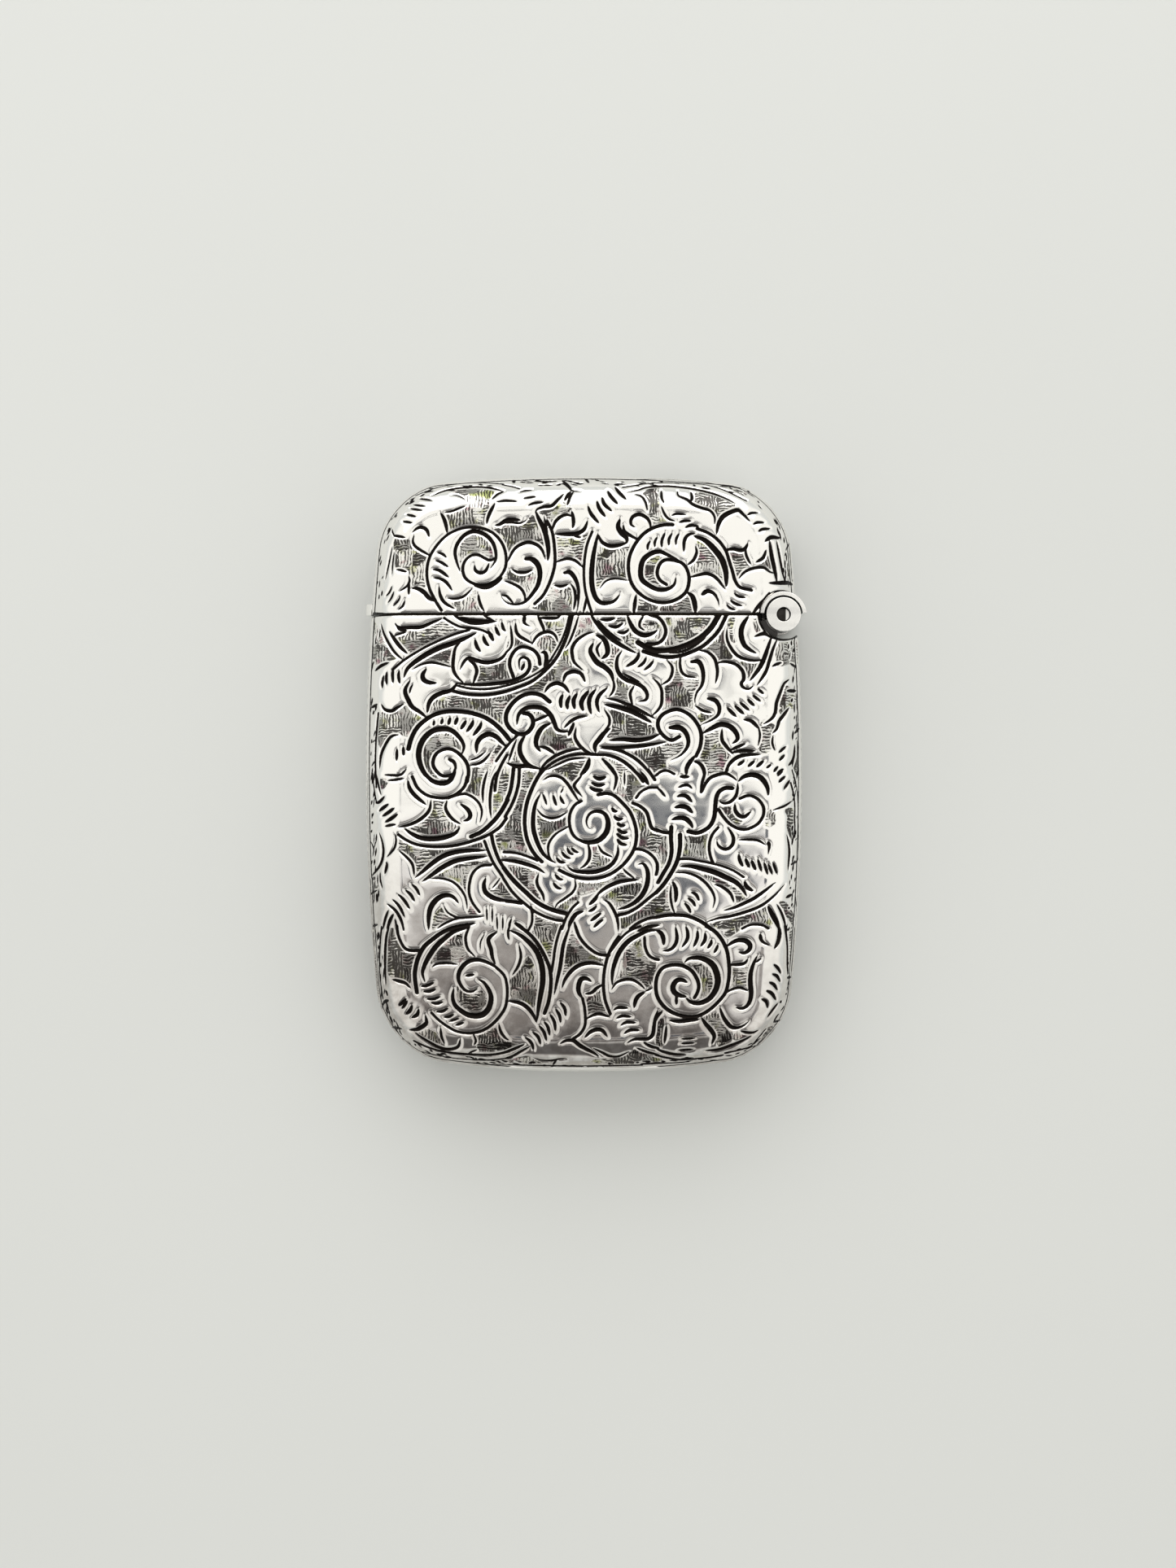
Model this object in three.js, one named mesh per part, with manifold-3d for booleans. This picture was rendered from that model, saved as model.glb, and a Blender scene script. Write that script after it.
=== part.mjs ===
// A small silver pocket case: a cushion-shaped body with a sprung lid that swings sideways
// on a pin hinge at one end of the seam, and a ribbed strip let into the base.
//
// Millimetres, +Z up. The case lies on its back: X is its width, Y its height towards the lid,
// Z its thickness. The origin is the middle of the back, under the middle of the outline.

import * as THREE from 'three';
import { mergeVertices } from 'three/addons/utils/BufferGeometryUtils.js';
import Module from 'manifold-3d';

const wasm = await Module();
wasm.setup();

// ---- Driving dimensions ----

const WIDTH = 34.4;
const HEIGHT = 47.0;
const THICKNESS = 9.0;
const CORNER_R = 5.2; // outline's corner radius
const EDGE_IN = 3.0; // how far the rounded edge reaches in over the face
const EDGE_BAND = 1.4; // upright band between the two rounded edges
const WALL = 0.6;
const MID_Z = THICKNESS / 2;
const EDGE_DROP = (THICKNESS - EDGE_BAND) / 2;

// The sides, top and base bow outwards on these radii.
const SIDE_BOW_R = 200;
const TOP_BOW_R = 150;
const BASE_BOW_R = 90;

const SEAM_Y = 12.4; // where the lid meets the body
const SEAM_GAP = 0.1;
const SOLDER_GAP = 0.02; // left between pieces that are soldered together
const FAR = 60; // longer than anything in the case

const PIN_R = 0.5;
const PIN_RECESS = 0.7; // how far the pin's ends lie inside the knuckles
const BORE_R = 0.56;
const KNUCKLE_R = 1.33;
const HINGE_X = 15.5;
const HINGE_Y = SEAM_Y;
const KNUCKLE_GAP = 0.05;
const LID_KNUCKLE_Z = [3.1, 5.9];
const BODY_KNUCKLE_END = 0.25; // height of the back knuckle's end, and depth of the front one's
const STRAP_R = [1.5, 1.8]; // the lid's strap that wraps round the knuckles
const LID_NOTCH_R = 1.83;
const BODY_NOTCH_R = 1.9;
const GUTTER_WALL = 0.36;

const CAM_R = 1.15; // distance of the lid knuckle's two flats from the pin
const CAM_CLOSED_DEG = 185; // where the flat that meets the spring faces with the lid shut
const LID_OPEN_DEG = 94; // the lid's side wall then meets the body's

const SPRING_T = 0.3;
const SPRING_Z = [3.35, 5.65];

// ---- Solids ----

function solid(geometry) {
  const bare = geometry.index ? geometry.toNonIndexed() : geometry.clone();
  bare.deleteAttribute('normal');
  bare.deleteAttribute('uv');
  const merged = mergeVertices(bare, 1e-5);
  return new wasm.Manifold(
    new wasm.Mesh({
      numProp: 3,
      vertProperties: merged.attributes.position.array,
      triVerts: new Uint32Array(merged.index.array),
    }),
  );
}

function geometryOf(manifold) {
  const mesh = manifold.getMesh();
  const geometry = new THREE.BufferGeometry();
  geometry.setAttribute('position', new THREE.BufferAttribute(mesh.vertProperties, 3));
  geometry.setIndex(new THREE.BufferAttribute(mesh.triVerts, 1));
  geometry.computeVertexNormals();
  return geometry;
}

function box(x, y, z) {
  const geometry = new THREE.BoxGeometry(x[1] - x[0], y[1] - y[0], z[1] - z[0]);
  geometry.translate((x[0] + x[1]) / 2, (y[0] + y[1]) / 2, (z[0] + z[1]) / 2);
  return solid(geometry);
}

function above(y) {
  return box([-FAR, FAR], [y, FAR], [-FAR, FAR]);
}

function below(y) {
  return box([-FAR, FAR], [-FAR, y], [-FAR, FAR]);
}

function front(z) {
  return box([-FAR, FAR], [-FAR, FAR], [z, FAR]);
}

function back(z) {
  return box([-FAR, FAR], [-FAR, FAR], [-FAR, z]);
}

// A flat shape in the XY plane, raised from z[0] to z[1].
function plate(shape, z, curveSegments = 24) {
  const geometry = new THREE.ExtrudeGeometry(shape, {
    depth: z[1] - z[0],
    bevelEnabled: false,
    curveSegments,
  });
  geometry.translate(0, 0, z[0]);
  return solid(geometry);
}

// A cylinder along the hinge pin's line.
function hingeRod(radius, z, segments = 32) {
  const geometry = new THREE.CylinderGeometry(radius, radius, z[1] - z[0], segments);
  geometry.rotateX(Math.PI / 2);
  geometry.translate(HINGE_X, HINGE_Y, (z[0] + z[1]) / 2);
  return solid(geometry);
}

function degrees(angle) {
  return (angle * Math.PI) / 180;
}

// Part of a ring about the hinge pin, between two angles counted anticlockwise from +X.
function hingeRing(inner, outer, fromDeg, toDeg, z) {
  const shape = new THREE.Shape();
  shape.absarc(HINGE_X, HINGE_Y, outer, degrees(fromDeg), degrees(toDeg), false);
  shape.absarc(HINGE_X, HINGE_Y, inner, degrees(toDeg), degrees(fromDeg), true);
  shape.closePath();
  return plate(shape, z, 14);
}

// ---- The cushion form ----

// Bows a point of the straight-sided outline outwards, by drawing in the ends of each side.
function bow(x, y) {
  const endR = y > 0 ? TOP_BOW_R : BASE_BOW_R;
  return [
    x * (1 - (y * y) / (SIDE_BOW_R * WIDTH)),
    y * (1 - (x * x) / (endR * HEIGHT)),
  ];
}

// A rounded rectangle whose straight runs are split, so that they can bow.
function outline(inset) {
  const w = WIDTH / 2 - inset;
  const h = HEIGHT / 2 - inset;
  const r = CORNER_R - inset;
  const corners = [
    [w - r, h - r, 0],
    [-(w - r), h - r, 90],
    [-(w - r), -(h - r), 180],
    [w - r, -(h - r), 270],
  ];
  const cornerSteps = 7;
  const runSteps = 6;
  const points = [];
  corners.forEach(([cx, cy, startDeg], i) => {
    for (let k = 0; k <= cornerSteps; k++) {
      const a = degrees(startDeg + (90 * k) / cornerSteps);
      points.push(new THREE.Vector2(cx + r * Math.cos(a), cy + r * Math.sin(a)));
    }
    const [nx, ny, nextDeg] = corners[(i + 1) % corners.length];
    const next = new THREE.Vector2(
      nx + r * Math.cos(degrees(nextDeg)),
      ny + r * Math.sin(degrees(nextDeg)),
    );
    const last = points[points.length - 1];
    for (let k = 1; k < runSteps; k++) {
      points.push(last.clone().lerp(next, k / runSteps));
    }
  });
  return new THREE.Shape(points);
}

// The whole case as a solid block whose surface lies inset below the outer one.
function cushion(inset) {
  const drop = EDGE_DROP - inset;
  const reach = EDGE_IN - inset;
  const geometry = new THREE.ExtrudeGeometry(outline(inset), {
    depth: EDGE_BAND,
    bevelEnabled: true,
    bevelThickness: drop,
    bevelSize: reach,
    bevelOffset: -reach,
    bevelSegments: 6,
    steps: 1,
  });
  const position = geometry.attributes.position;
  for (let i = 0; i < position.count; i++) {
    const [x, y] = bow(position.getX(i), position.getY(i));
    position.setXY(i, x, y);
  }
  geometry.translate(0, 0, MID_Z - EDGE_BAND / 2);
  return solid(geometry);
}

// A skin of the cushion between two depths below its surface.
function skin(outerInset, innerInset) {
  return cushion(outerInset).subtract(cushion(innerInset));
}

const allZ = [-FAR, FAR];
const cavity = cushion(WALL + SOLDER_GAP);

// ---- Base: a lens-shaped frame with a ribbed strip in it ----

const BASE_LENS = { halfLength: 13.6, halfHeight: 2.9 };
const STRIP_LENS = { halfLength: 12.2, halfHeight: 1.9 };
const STRIP_TOP = 0.05; // how far the strip's ribs lie below the outer surface
const STRIP_FLOOR = 0.5;
const RIB_PITCH = 0.8;
const RIB_DEPTH = 0.22;
const RIB_TOP = 0.12; // width left on each rib's crest
const GROOVE_RISE = 0.3; // how far the grooves' cutters stand out past the crests
const FRAME_EXTRA_T = 0.35; // the frame is this much thicker than the shells
const BASE_PRISM_Y = [-FAR, -HEIGHT / 2 + 3];

// A pointed lens across the base, as a prism along Y.
function lens({ halfLength, halfHeight }, grow = 0) {
  const length = halfLength + grow;
  const height = halfHeight + grow;
  const radius = (length * length + height * height) / (2 * height);
  const half = Math.asin(length / radius);
  const shape = new THREE.Shape();
  shape.absarc(0, height - radius, radius, Math.PI / 2 + half, Math.PI / 2 - half, true);
  shape.absarc(0, radius - height, radius, -Math.PI / 2 + half, -Math.PI / 2 - half, true);
  shape.closePath();
  const depth = BASE_PRISM_Y[1] - BASE_PRISM_Y[0];
  const geometry = new THREE.ExtrudeGeometry(shape, {
    depth,
    bevelEnabled: false,
    curveSegments: 14,
  });
  geometry.rotateX(Math.PI / 2);
  geometry.translate(0, BASE_PRISM_Y[1], MID_Z);
  return solid(geometry);
}

function baseFrame() {
  const rim = skin(0, WALL + FRAME_EXTRA_T).intersect(lens(BASE_LENS));
  const seat = lens(STRIP_LENS, SOLDER_GAP).subtract(cushion(STRIP_FLOOR + SOLDER_GAP));
  return rim.subtract(seat);
}

function strikerStrip() {
  const strip = skin(STRIP_TOP, STRIP_FLOOR).intersect(lens(STRIP_LENS));
  const count = Math.floor(STRIP_LENS.halfLength / RIB_PITCH);
  const cuts = [];
  for (let i = -count; i <= count; i++) {
    const x = (i + 0.5) * RIB_PITCH;
    const bowed = (-HEIGHT / 2) * (1 - (x * x) / (BASE_BOW_R * HEIGHT)) + STRIP_TOP;
    const groove = new THREE.Shape([
      new THREE.Vector2(x, bowed + RIB_DEPTH),
      new THREE.Vector2(x - (RIB_PITCH - RIB_TOP) / 2, bowed - GROOVE_RISE),
      new THREE.Vector2(x + (RIB_PITCH - RIB_TOP) / 2, bowed - GROOVE_RISE),
    ]);
    cuts.push(plate(groove, [0, THICKNESS]));
  }
  return cuts.reduce((left, cut) => left.subtract(cut), strip);
}

// ---- Body and lid shells: each a pair of stamped halves ----

const shell = skin(0, WALL);
const bodyNotch = hingeRod(BODY_NOTCH_R, allZ, 48);
const lidNotch = hingeRod(LID_NOTCH_R, allZ, 48);
const baseWindow = lens(BASE_LENS, SOLDER_GAP);

function bodyShell(side) {
  return shell
    .intersect(below(SEAM_Y - SEAM_GAP / 2))
    .intersect(side)
    .subtract(bodyNotch)
    .subtract(baseWindow);
}

function lidShell(side) {
  return shell
    .intersect(above(SEAM_Y + SEAM_GAP / 2))
    .intersect(side)
    .subtract(lidNotch);
}

const frontHalf = front(MID_Z + SOLDER_GAP / 2);
const backHalf = back(MID_Z - SOLDER_GAP / 2);

// ---- Mouth bezel: the thin collar that stands up inside the lid ----

const BEZEL_CLEARANCE = 0.08;
const BEZEL_T = 0.35;
const BEZEL_Y = [SEAM_Y - 3, SEAM_Y + 1.6];
const BEZEL_END_X = 12.9; // it stops short of the hinge

function mouthBezel() {
  const inset = WALL + BEZEL_CLEARANCE;
  return skin(inset, inset + BEZEL_T).intersect(box([-FAR, BEZEL_END_X], BEZEL_Y, allZ));
}

// ---- Hinge ----

const [knuckleBackTop, knuckleFrontFoot] = [
  LID_KNUCKLE_Z[0] - KNUCKLE_GAP,
  LID_KNUCKLE_Z[1] + KNUCKLE_GAP,
];
const frontKnuckleZ = [knuckleFrontFoot, THICKNESS - BODY_KNUCKLE_END];
const backKnuckleZ = [BODY_KNUCKLE_END, knuckleBackTop];
const WEB_INNER_R = 1.1; // webs start inside the knuckles and reach out to what they are soldered to
const BODY_WEB_DEG = [195, 255]; // the lid's strap never reaches these angles
const FRONT_WEB_TOP = 7.6;
const BACK_WEB_FOOT = 1.4;
const LID_WEB_DEG = [25, 155];
const frontWebZ = [knuckleFrontFoot, FRONT_WEB_TOP];
const backWebZ = [BACK_WEB_FOOT, knuckleBackTop];
const bore = hingeRod(BORE_R, allZ);

function bodyKnuckle(z, webZ) {
  const [fromDeg, toDeg] = BODY_WEB_DEG;
  const web = hingeRing(WEB_INNER_R, BODY_NOTCH_R - SOLDER_GAP, fromDeg, toDeg, webZ);
  return hingeRod(KNUCKLE_R, z).add(web).subtract(bore);
}

const GUTTER_DEG = [182, 355];
// The slot in the gutter that the spring comes through, measured back from the pin.
const SLOT = { x: [2.6, 0.75], y: [2.6, 0.9], margin: 0.2 };

// The concave trough, inside the body, that closes the notch under the knuckles.
function hingeGutter() {
  const inner = BODY_NOTCH_R + SOLDER_GAP / 2;
  const slot = box(
    SLOT.x.map((back) => HINGE_X - back),
    SLOT.y.map((back) => HINGE_Y - back),
    [SPRING_Z[0] - SLOT.margin, SPRING_Z[1] + SLOT.margin],
  );
  return hingeRing(inner, inner + GUTTER_WALL, GUTTER_DEG[0], GUTTER_DEG[1], [0, THICKNESS])
    .intersect(cavity)
    .intersect(below(SEAM_Y - SEAM_GAP / 2))
    .subtract(slot);
}

const STRAP_DEG = [4, 176];
const STRAP_END = 0.6; // how far the strap's ends lie inside the case's faces

function lidStrap() {
  const [inner, outer] = STRAP_R;
  const [fromDeg, toDeg] = STRAP_DEG;
  return hingeRing(inner, outer, fromDeg, toDeg, [STRAP_END, THICKNESS - STRAP_END]);
}

const LOBE_INNER_R = 0.8;
const FLAT_CUTTER = { depth: 4, width: 8 };

// The lid's knuckle has two flats for the spring, one for shut and one for open.
function lidKnuckle() {
  const [webFrom, webTo] = LID_WEB_DEG;
  const web = hingeRing(WEB_INNER_R, STRAP_R[0] - SOLDER_GAP, webFrom, webTo, LID_KNUCKLE_Z);
  const openDeg = CAM_CLOSED_DEG + LID_OPEN_DEG;
  const cornerR = CAM_R / Math.cos(degrees(LID_OPEN_DEG / 2));
  const lobe = hingeRing(LOBE_INNER_R, cornerR, CAM_CLOSED_DEG, openDeg, LID_KNUCKLE_Z);
  const flats = [CAM_CLOSED_DEG, openDeg].map((deg) => {
    const block = new THREE.BoxGeometry(FLAT_CUTTER.depth, FLAT_CUTTER.width, FAR);
    block.translate(CAM_R + FLAT_CUTTER.depth / 2, 0, 0);
    block.rotateZ(degrees(deg));
    block.translate(HINGE_X, HINGE_Y, 0);
    return solid(block);
  });
  const round = hingeRod(KNUCKLE_R, LID_KNUCKLE_Z).add(web).add(lobe);
  return flats.reduce((left, flat) => left.subtract(flat), round).subtract(bore);
}

function hingePin() {
  const foot = BODY_KNUCKLE_END + PIN_RECESS;
  return hingeRod(PIN_R, [foot, THICKNESS - foot], 24);
}

// ---- Spring: a leaf that leans from its seat on the side wall to the knuckle's flat ----

const SEAT = { x: [15.75, FAR], y: [-5, 0.5], z: [3.0, 6.0] };
const RIVET_Y = [-3.6, -1];
const RIVET_R = 0.4;
const RIVET_CLEARANCE = 0.03;
const RIVET_HEAD = { r: 0.75, t: 0.28 };
const RIVET_DEPTH = 0.9; // how far the shank goes into the seat
const SPRING_TIP = 0.15; // how far the spring starts along the flat
const SPRING_BEND = 6.5; // where it starts to turn in to its seat
const SPRING_HANDLE = 9.5; // the turn's control point

// The side of the spring that meets the flat runs along the flat and on down to the seat.
function springShape() {
  const lean = degrees(CAM_CLOSED_DEG - 180);
  const along = new THREE.Vector2(Math.sin(lean), -Math.cos(lean));
  const out = new THREE.Vector2(-Math.cos(lean), -Math.sin(lean));
  const touch = new THREE.Vector2(HINGE_X, HINGE_Y).addScaledVector(out, CAM_R + SOLDER_GAP);
  const tip = touch.clone().addScaledVector(along, SPRING_TIP);
  const bend = touch.clone().addScaledVector(along, SPRING_BEND);
  const seatX = SEAT.x[0] - SOLDER_GAP;
  const right = [tip, bend];
  const handle = touch.clone().addScaledVector(along, SPRING_HANDLE);
  const landing = new THREE.Vector2(seatX, SEAT.y[1]);
  const curve = new THREE.QuadraticBezierCurve(bend, handle, landing);
  right.push(...curve.getPoints(6).slice(1));
  right.push(new THREE.Vector2(seatX, SEAT.y[0]));
  const left = right.map((p, i) => {
    const a = right[Math.max(i - 1, 0)];
    const b = right[Math.min(i + 1, right.length - 1)];
    const normal = b.clone().sub(a).normalize();
    return new THREE.Vector2(p.x + normal.y * SPRING_T, p.y - normal.x * SPRING_T);
  });
  return new THREE.Shape([...right, ...left.reverse()]);
}

// A cylinder along X at a rivet's place.
function rivetRod(radius, x, y) {
  const geometry = new THREE.CylinderGeometry(radius, radius, x[1] - x[0], 16);
  geometry.rotateZ(Math.PI / 2);
  geometry.translate((x[0] + x[1]) / 2, y, MID_Z);
  return solid(geometry);
}

const springFaceX = SEAT.x[0] - SOLDER_GAP - SPRING_T;
const rivetHoles = RIVET_Y.map((y) =>
  rivetRod(RIVET_R + RIVET_CLEARANCE, [springFaceX - 1, SEAT.x[0] + RIVET_DEPTH + 0.1], y),
).reduce((left, hole) => left.add(hole));

function hingeSpring() {
  return plate(springShape(), SPRING_Z).subtract(rivetHoles);
}

function springSeat() {
  const block = box(SEAT.x, SEAT.y, SEAT.z).intersect(cavity);
  const holes = RIVET_Y.map((y) =>
    rivetRod(RIVET_R + RIVET_CLEARANCE, [SEAT.x[0] - 1, SEAT.x[0] + RIVET_DEPTH], y),
  );
  return holes.reduce((left, hole) => left.subtract(hole), block);
}

function springRivet(y) {
  const headX = springFaceX - SOLDER_GAP;
  const shank = rivetRod(RIVET_R, [headX - 0.05, SEAT.x[0] + RIVET_DEPTH - 0.1], y);
  return shank.add(rivetRod(RIVET_HEAD.r, [headX - RIVET_HEAD.t, headX], y));
}

// ---- Thumb lip: a small crescent soldered to the lid's rim, across from the hinge ----

const LIP = { reach: 17.25, depth: 1.4, y: [SEAM_Y + 0.12, SEAM_Y + 1.0], z: [2.9, 6.1] };

function thumbLip() {
  const crescent = new THREE.Shape();
  const half = (LIP.z[1] - LIP.z[0]) / 2;
  const radius = (half * half + LIP.depth * LIP.depth) / (2 * LIP.depth);
  const swing = Math.asin(half / radius);
  crescent.absarc(LIP.reach - radius, 0, radius, -swing, swing, false);
  crescent.closePath();
  const geometry = new THREE.ExtrudeGeometry(crescent, {
    depth: LIP.y[1] - LIP.y[0],
    bevelEnabled: false,
    curveSegments: 12,
  });
  geometry.rotateX(Math.PI / 2);
  geometry.rotateY(Math.PI);
  geometry.translate(0, LIP.y[1], MID_Z);
  return solid(geometry).subtract(cushion(-SOLDER_GAP));
}

// ---- Materials ----

function silver(roughness, color = 0xe9e6df) {
  return new THREE.MeshStandardMaterial({ color, metalness: 1, roughness });
}

const engravedSilver = silver(0.22);
const plainSilver = silver(0.16);
const rubbedSilver = silver(0.4, 0xbdb9b0);
const springSteel = new THREE.MeshStandardMaterial({
  color: 0x6f7174,
  metalness: 1,
  roughness: 0.38,
});

// ---- Assembly ----

const caseGroup = new THREE.Group();

function piece(parent, name, manifold, material) {
  const mesh = new THREE.Mesh(geometryOf(manifold), material);
  mesh.name = name;
  parent.add(mesh);
}

const body = new THREE.Group();
const lid = new THREE.Group();
caseGroup.add(body, lid);

piece(body, 'body_front_shell', bodyShell(frontHalf), engravedSilver);
piece(body, 'body_back_shell', bodyShell(backHalf), engravedSilver);
piece(body, 'base_frame', baseFrame(), plainSilver);
piece(body, 'striker_strip', strikerStrip(), rubbedSilver);
piece(body, 'mouth_bezel', mouthBezel(), plainSilver);
piece(body, 'hinge_gutter', hingeGutter(), plainSilver);
piece(body, 'body_knuckle_front', bodyKnuckle(frontKnuckleZ, frontWebZ), plainSilver);
piece(body, 'body_knuckle_back', bodyKnuckle(backKnuckleZ, backWebZ), plainSilver);
piece(body, 'hinge_pin', hingePin(), plainSilver);
piece(body, 'hinge_spring', hingeSpring(), springSteel);
piece(body, 'spring_seat', springSeat(), plainSilver);
piece(body, 'spring_rivet_lower', springRivet(RIVET_Y[0]), plainSilver);
piece(body, 'spring_rivet_upper', springRivet(RIVET_Y[1]), plainSilver);

piece(lid, 'lid_front_shell', lidShell(frontHalf), engravedSilver);
piece(lid, 'lid_back_shell', lidShell(backHalf), engravedSilver);
piece(lid, 'lid_hinge_strap', lidStrap(), plainSilver);
piece(lid, 'lid_knuckle', lidKnuckle(), plainSilver);
piece(lid, 'thumb_lip', thumbLip(), plainSilver);

export default caseGroup;
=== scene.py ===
"""The looks of a small engraved silver pocket case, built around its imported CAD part.

Lengths in this script are millimetres in the part's own frame until a mesh is made. The four
stamped half shells are made again here with their engraving cut into the metal; every other
piece keeps its CAD shape and gets its finish.
"""

import math

import bpy
import numpy as np
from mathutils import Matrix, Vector


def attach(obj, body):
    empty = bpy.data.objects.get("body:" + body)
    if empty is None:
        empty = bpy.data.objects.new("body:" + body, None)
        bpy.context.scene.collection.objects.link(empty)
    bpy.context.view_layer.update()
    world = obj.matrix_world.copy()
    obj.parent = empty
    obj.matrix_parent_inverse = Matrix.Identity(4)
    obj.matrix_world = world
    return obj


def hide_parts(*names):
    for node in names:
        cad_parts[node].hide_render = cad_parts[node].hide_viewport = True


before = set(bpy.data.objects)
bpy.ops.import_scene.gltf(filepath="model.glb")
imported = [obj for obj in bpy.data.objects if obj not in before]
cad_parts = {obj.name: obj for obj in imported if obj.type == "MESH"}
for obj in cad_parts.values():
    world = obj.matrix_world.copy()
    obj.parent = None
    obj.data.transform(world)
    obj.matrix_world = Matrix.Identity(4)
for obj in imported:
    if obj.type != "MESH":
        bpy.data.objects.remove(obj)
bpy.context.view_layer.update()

MM = 0.001  # metres in a millimetre
TINY = 1e-9  # keeps a division away from nothing

# ---- The engraving ----
# Each line is one cut of the graver, drawn as it looks from straight above: its kind, its
# width, then the points of its curve. A "line" keeps its width, a "cut" is pointed at both
# ends and a "comma" starts full and tails away. "ground" is an area cut back and hatched,
# given by the points round it. An indented line carries on the one above it. One comma is
# no graver cut but painted shadow: the last line of BODY_UPPER_LEFT, along the seam.

LID_LEFT = """
line .16 -13.1 21.7  -12.1 22.1  -11 22.4  -9.5 22.6  -8 22.65  -6.3 22.55
cut .28 -11.9 21.7  -10.8 22.1  -9.5 22.3  -8 22.35  -6.9 22.2  -6.2 22
cut .2 -12.85 21.5  -12.3 21.45  -11.8 21.35
cut .2 -13.35 21.05  -12.9 21  -12.35 20.93
cut .2 -13.6 20.75  -13.1 20.68  -12.6 20.6
cut .22 -13.9 20.3  -13.5 20.2  -13.1 20.1
cut .22 -14.2 19.75  -13.8 19.68  -13.4 19.6
cut .16 -15 19.1  -14.98 18.85  -14.85 18.6
cut .24 -14.95 18.6  -14.5 18.53  -13.95 18.42
cut .3 -13.35 18.8  -13 19.1  -12.6 19.2  -12.2 18.95  -12.02 18.4
cut .24 -13.2 18.6  -13.3 18.1  -13.1 17.7  -12.6 17.35  -11.9 16.95
cut .22 -10.85 20.35  -10.3 20.45  -9.8 20.65  -9.2 20.88
cut .3 -11.15 20.35  -10.95 20  -10.75 19.5  -10.6 18.7
cut .14 -10.3 21.75  -9.9 21.75  -9.5 21.6  -9.2 21.4
line .24 -11.05 12.7  -11.6 13.6  -12.05 14.6  -12.2 15.7  -12 16.8  -11.4 17.8  -10.5 18.65
    -9.4 19.1  -8.3 19.15  -7.2 18.8  -6.4 18  -6.05 17  -6.1 16  -6.6 15.2  -7.4 14.75  -8.3 14.7
    -9.1 15.1  -9.4 15.8  -9.25 16.5  -8.75 16.95  -8.2 17  -7.7 16.75  -7.3 16.58  -6.95 16.7
cut .5 -8.6 14.68  -7.6 14.55  -6.9 14.85  -6.3 15.25
cut .34 -9.6 15.7  -9.9 16.6  -10 17.3  -9.75 18  -9.2 18.6  -8.5 18.85  -7.7 18.6  -7.1 18
    -6.85 17.3  -6.85 16.6  -7.25 15.95
cut .3 -8.5 16.25  -8.4 15.8  -8 15.6  -7.6 15.8  -7.35 16.35
cut .22 -11.4 17.2  -11 17.1  -10.65 16.8
cut .24 -11.55 16.6  -11.1 16.45  -10.5 16.05
cut .28 -11.75 15.9  -11.2 15.8  -10.45 15.25
cut .26 -11.7 15.25  -11.1 15.15  -10.6 14.8  -10.2 14.2
cut .27 -11.25 14.6  -11.15 13.9  -10.8 13.3  -10 12.8
cut .22 -10.6 13.65  -10 13.6  -9.3 13.8  -8.65 14.4
cut .24 -8.2 14  -8.1 13.4  -7.9 12.9  -7.7 12.6
cut .22 -14.7 15.9  -14.3 15.85  -13.75 15.7
cut .22 -13.6 15.4  -13.55 15  -13.75 14.6  -14.4 14.2
cut .22 -13.55 14.9  -13.6 14.4  -13.6 13.9
cut .36 -13.4 14.45  -12.9 14.4  -12.4 14.1  -12 13.65  -11.5 13.4
cut .2 -15 14.6  -15.15 14.2  -15.45 13.8
cut .2 -14.85 14.2  -15 13.75  -15.3 13.3
cut .2 -14.3 13.85  -14.5 13.45  -14.9 13.05
cut .22 -13.9 13.5  -14.1 13.05  -14.5 12.75
cut .18 -15 17.7  -15.2 16.6  -15.5 15.1
cut .16 -14.85 17.3  -14.95 16.4  -15 15.5
ground -10.2 22.05  -9.2 22.15  -8 22.15  -6.9 21.95  -7.3 21.4  -7.35 20.8  -7.6 19.9  -7.6 19.3
    -8.5 19.2  -9.6 19.05  -10.5 18.8  -10.6 19.5  -10.85 20.3  -10.2 20.4  -9.3 20.8  -9.1 21.4
    -9.7 21.8
ground -9.7 17.3  -9.5 18  -8.9 18.55  -8.3 18.6  -7.6 18.2  -7.15 17.5  -7 16.8  -7.4 16.65
    -8 17.05  -8.6 17.05  -9.2 16.7  -9.5 16.2  -9.75 16.6
ground -14.8 18.3  -13.9 18.3  -13.4 18.1  -13.3 17.6  -12.7 17.3  -12 16.9  -12.2 15.8  -12.1 14.8
    -12.4 14.2  -13.3 14.6  -13.45 15.4  -13.9 15.75  -14.7 16  -14.85 17.2
ground -10 13.5  -9.2 13.7  -8.6 14.3  -8.2 13.9  -8.1 13.2  -7.9 12.5  -9.9 12.5
"""

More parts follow.
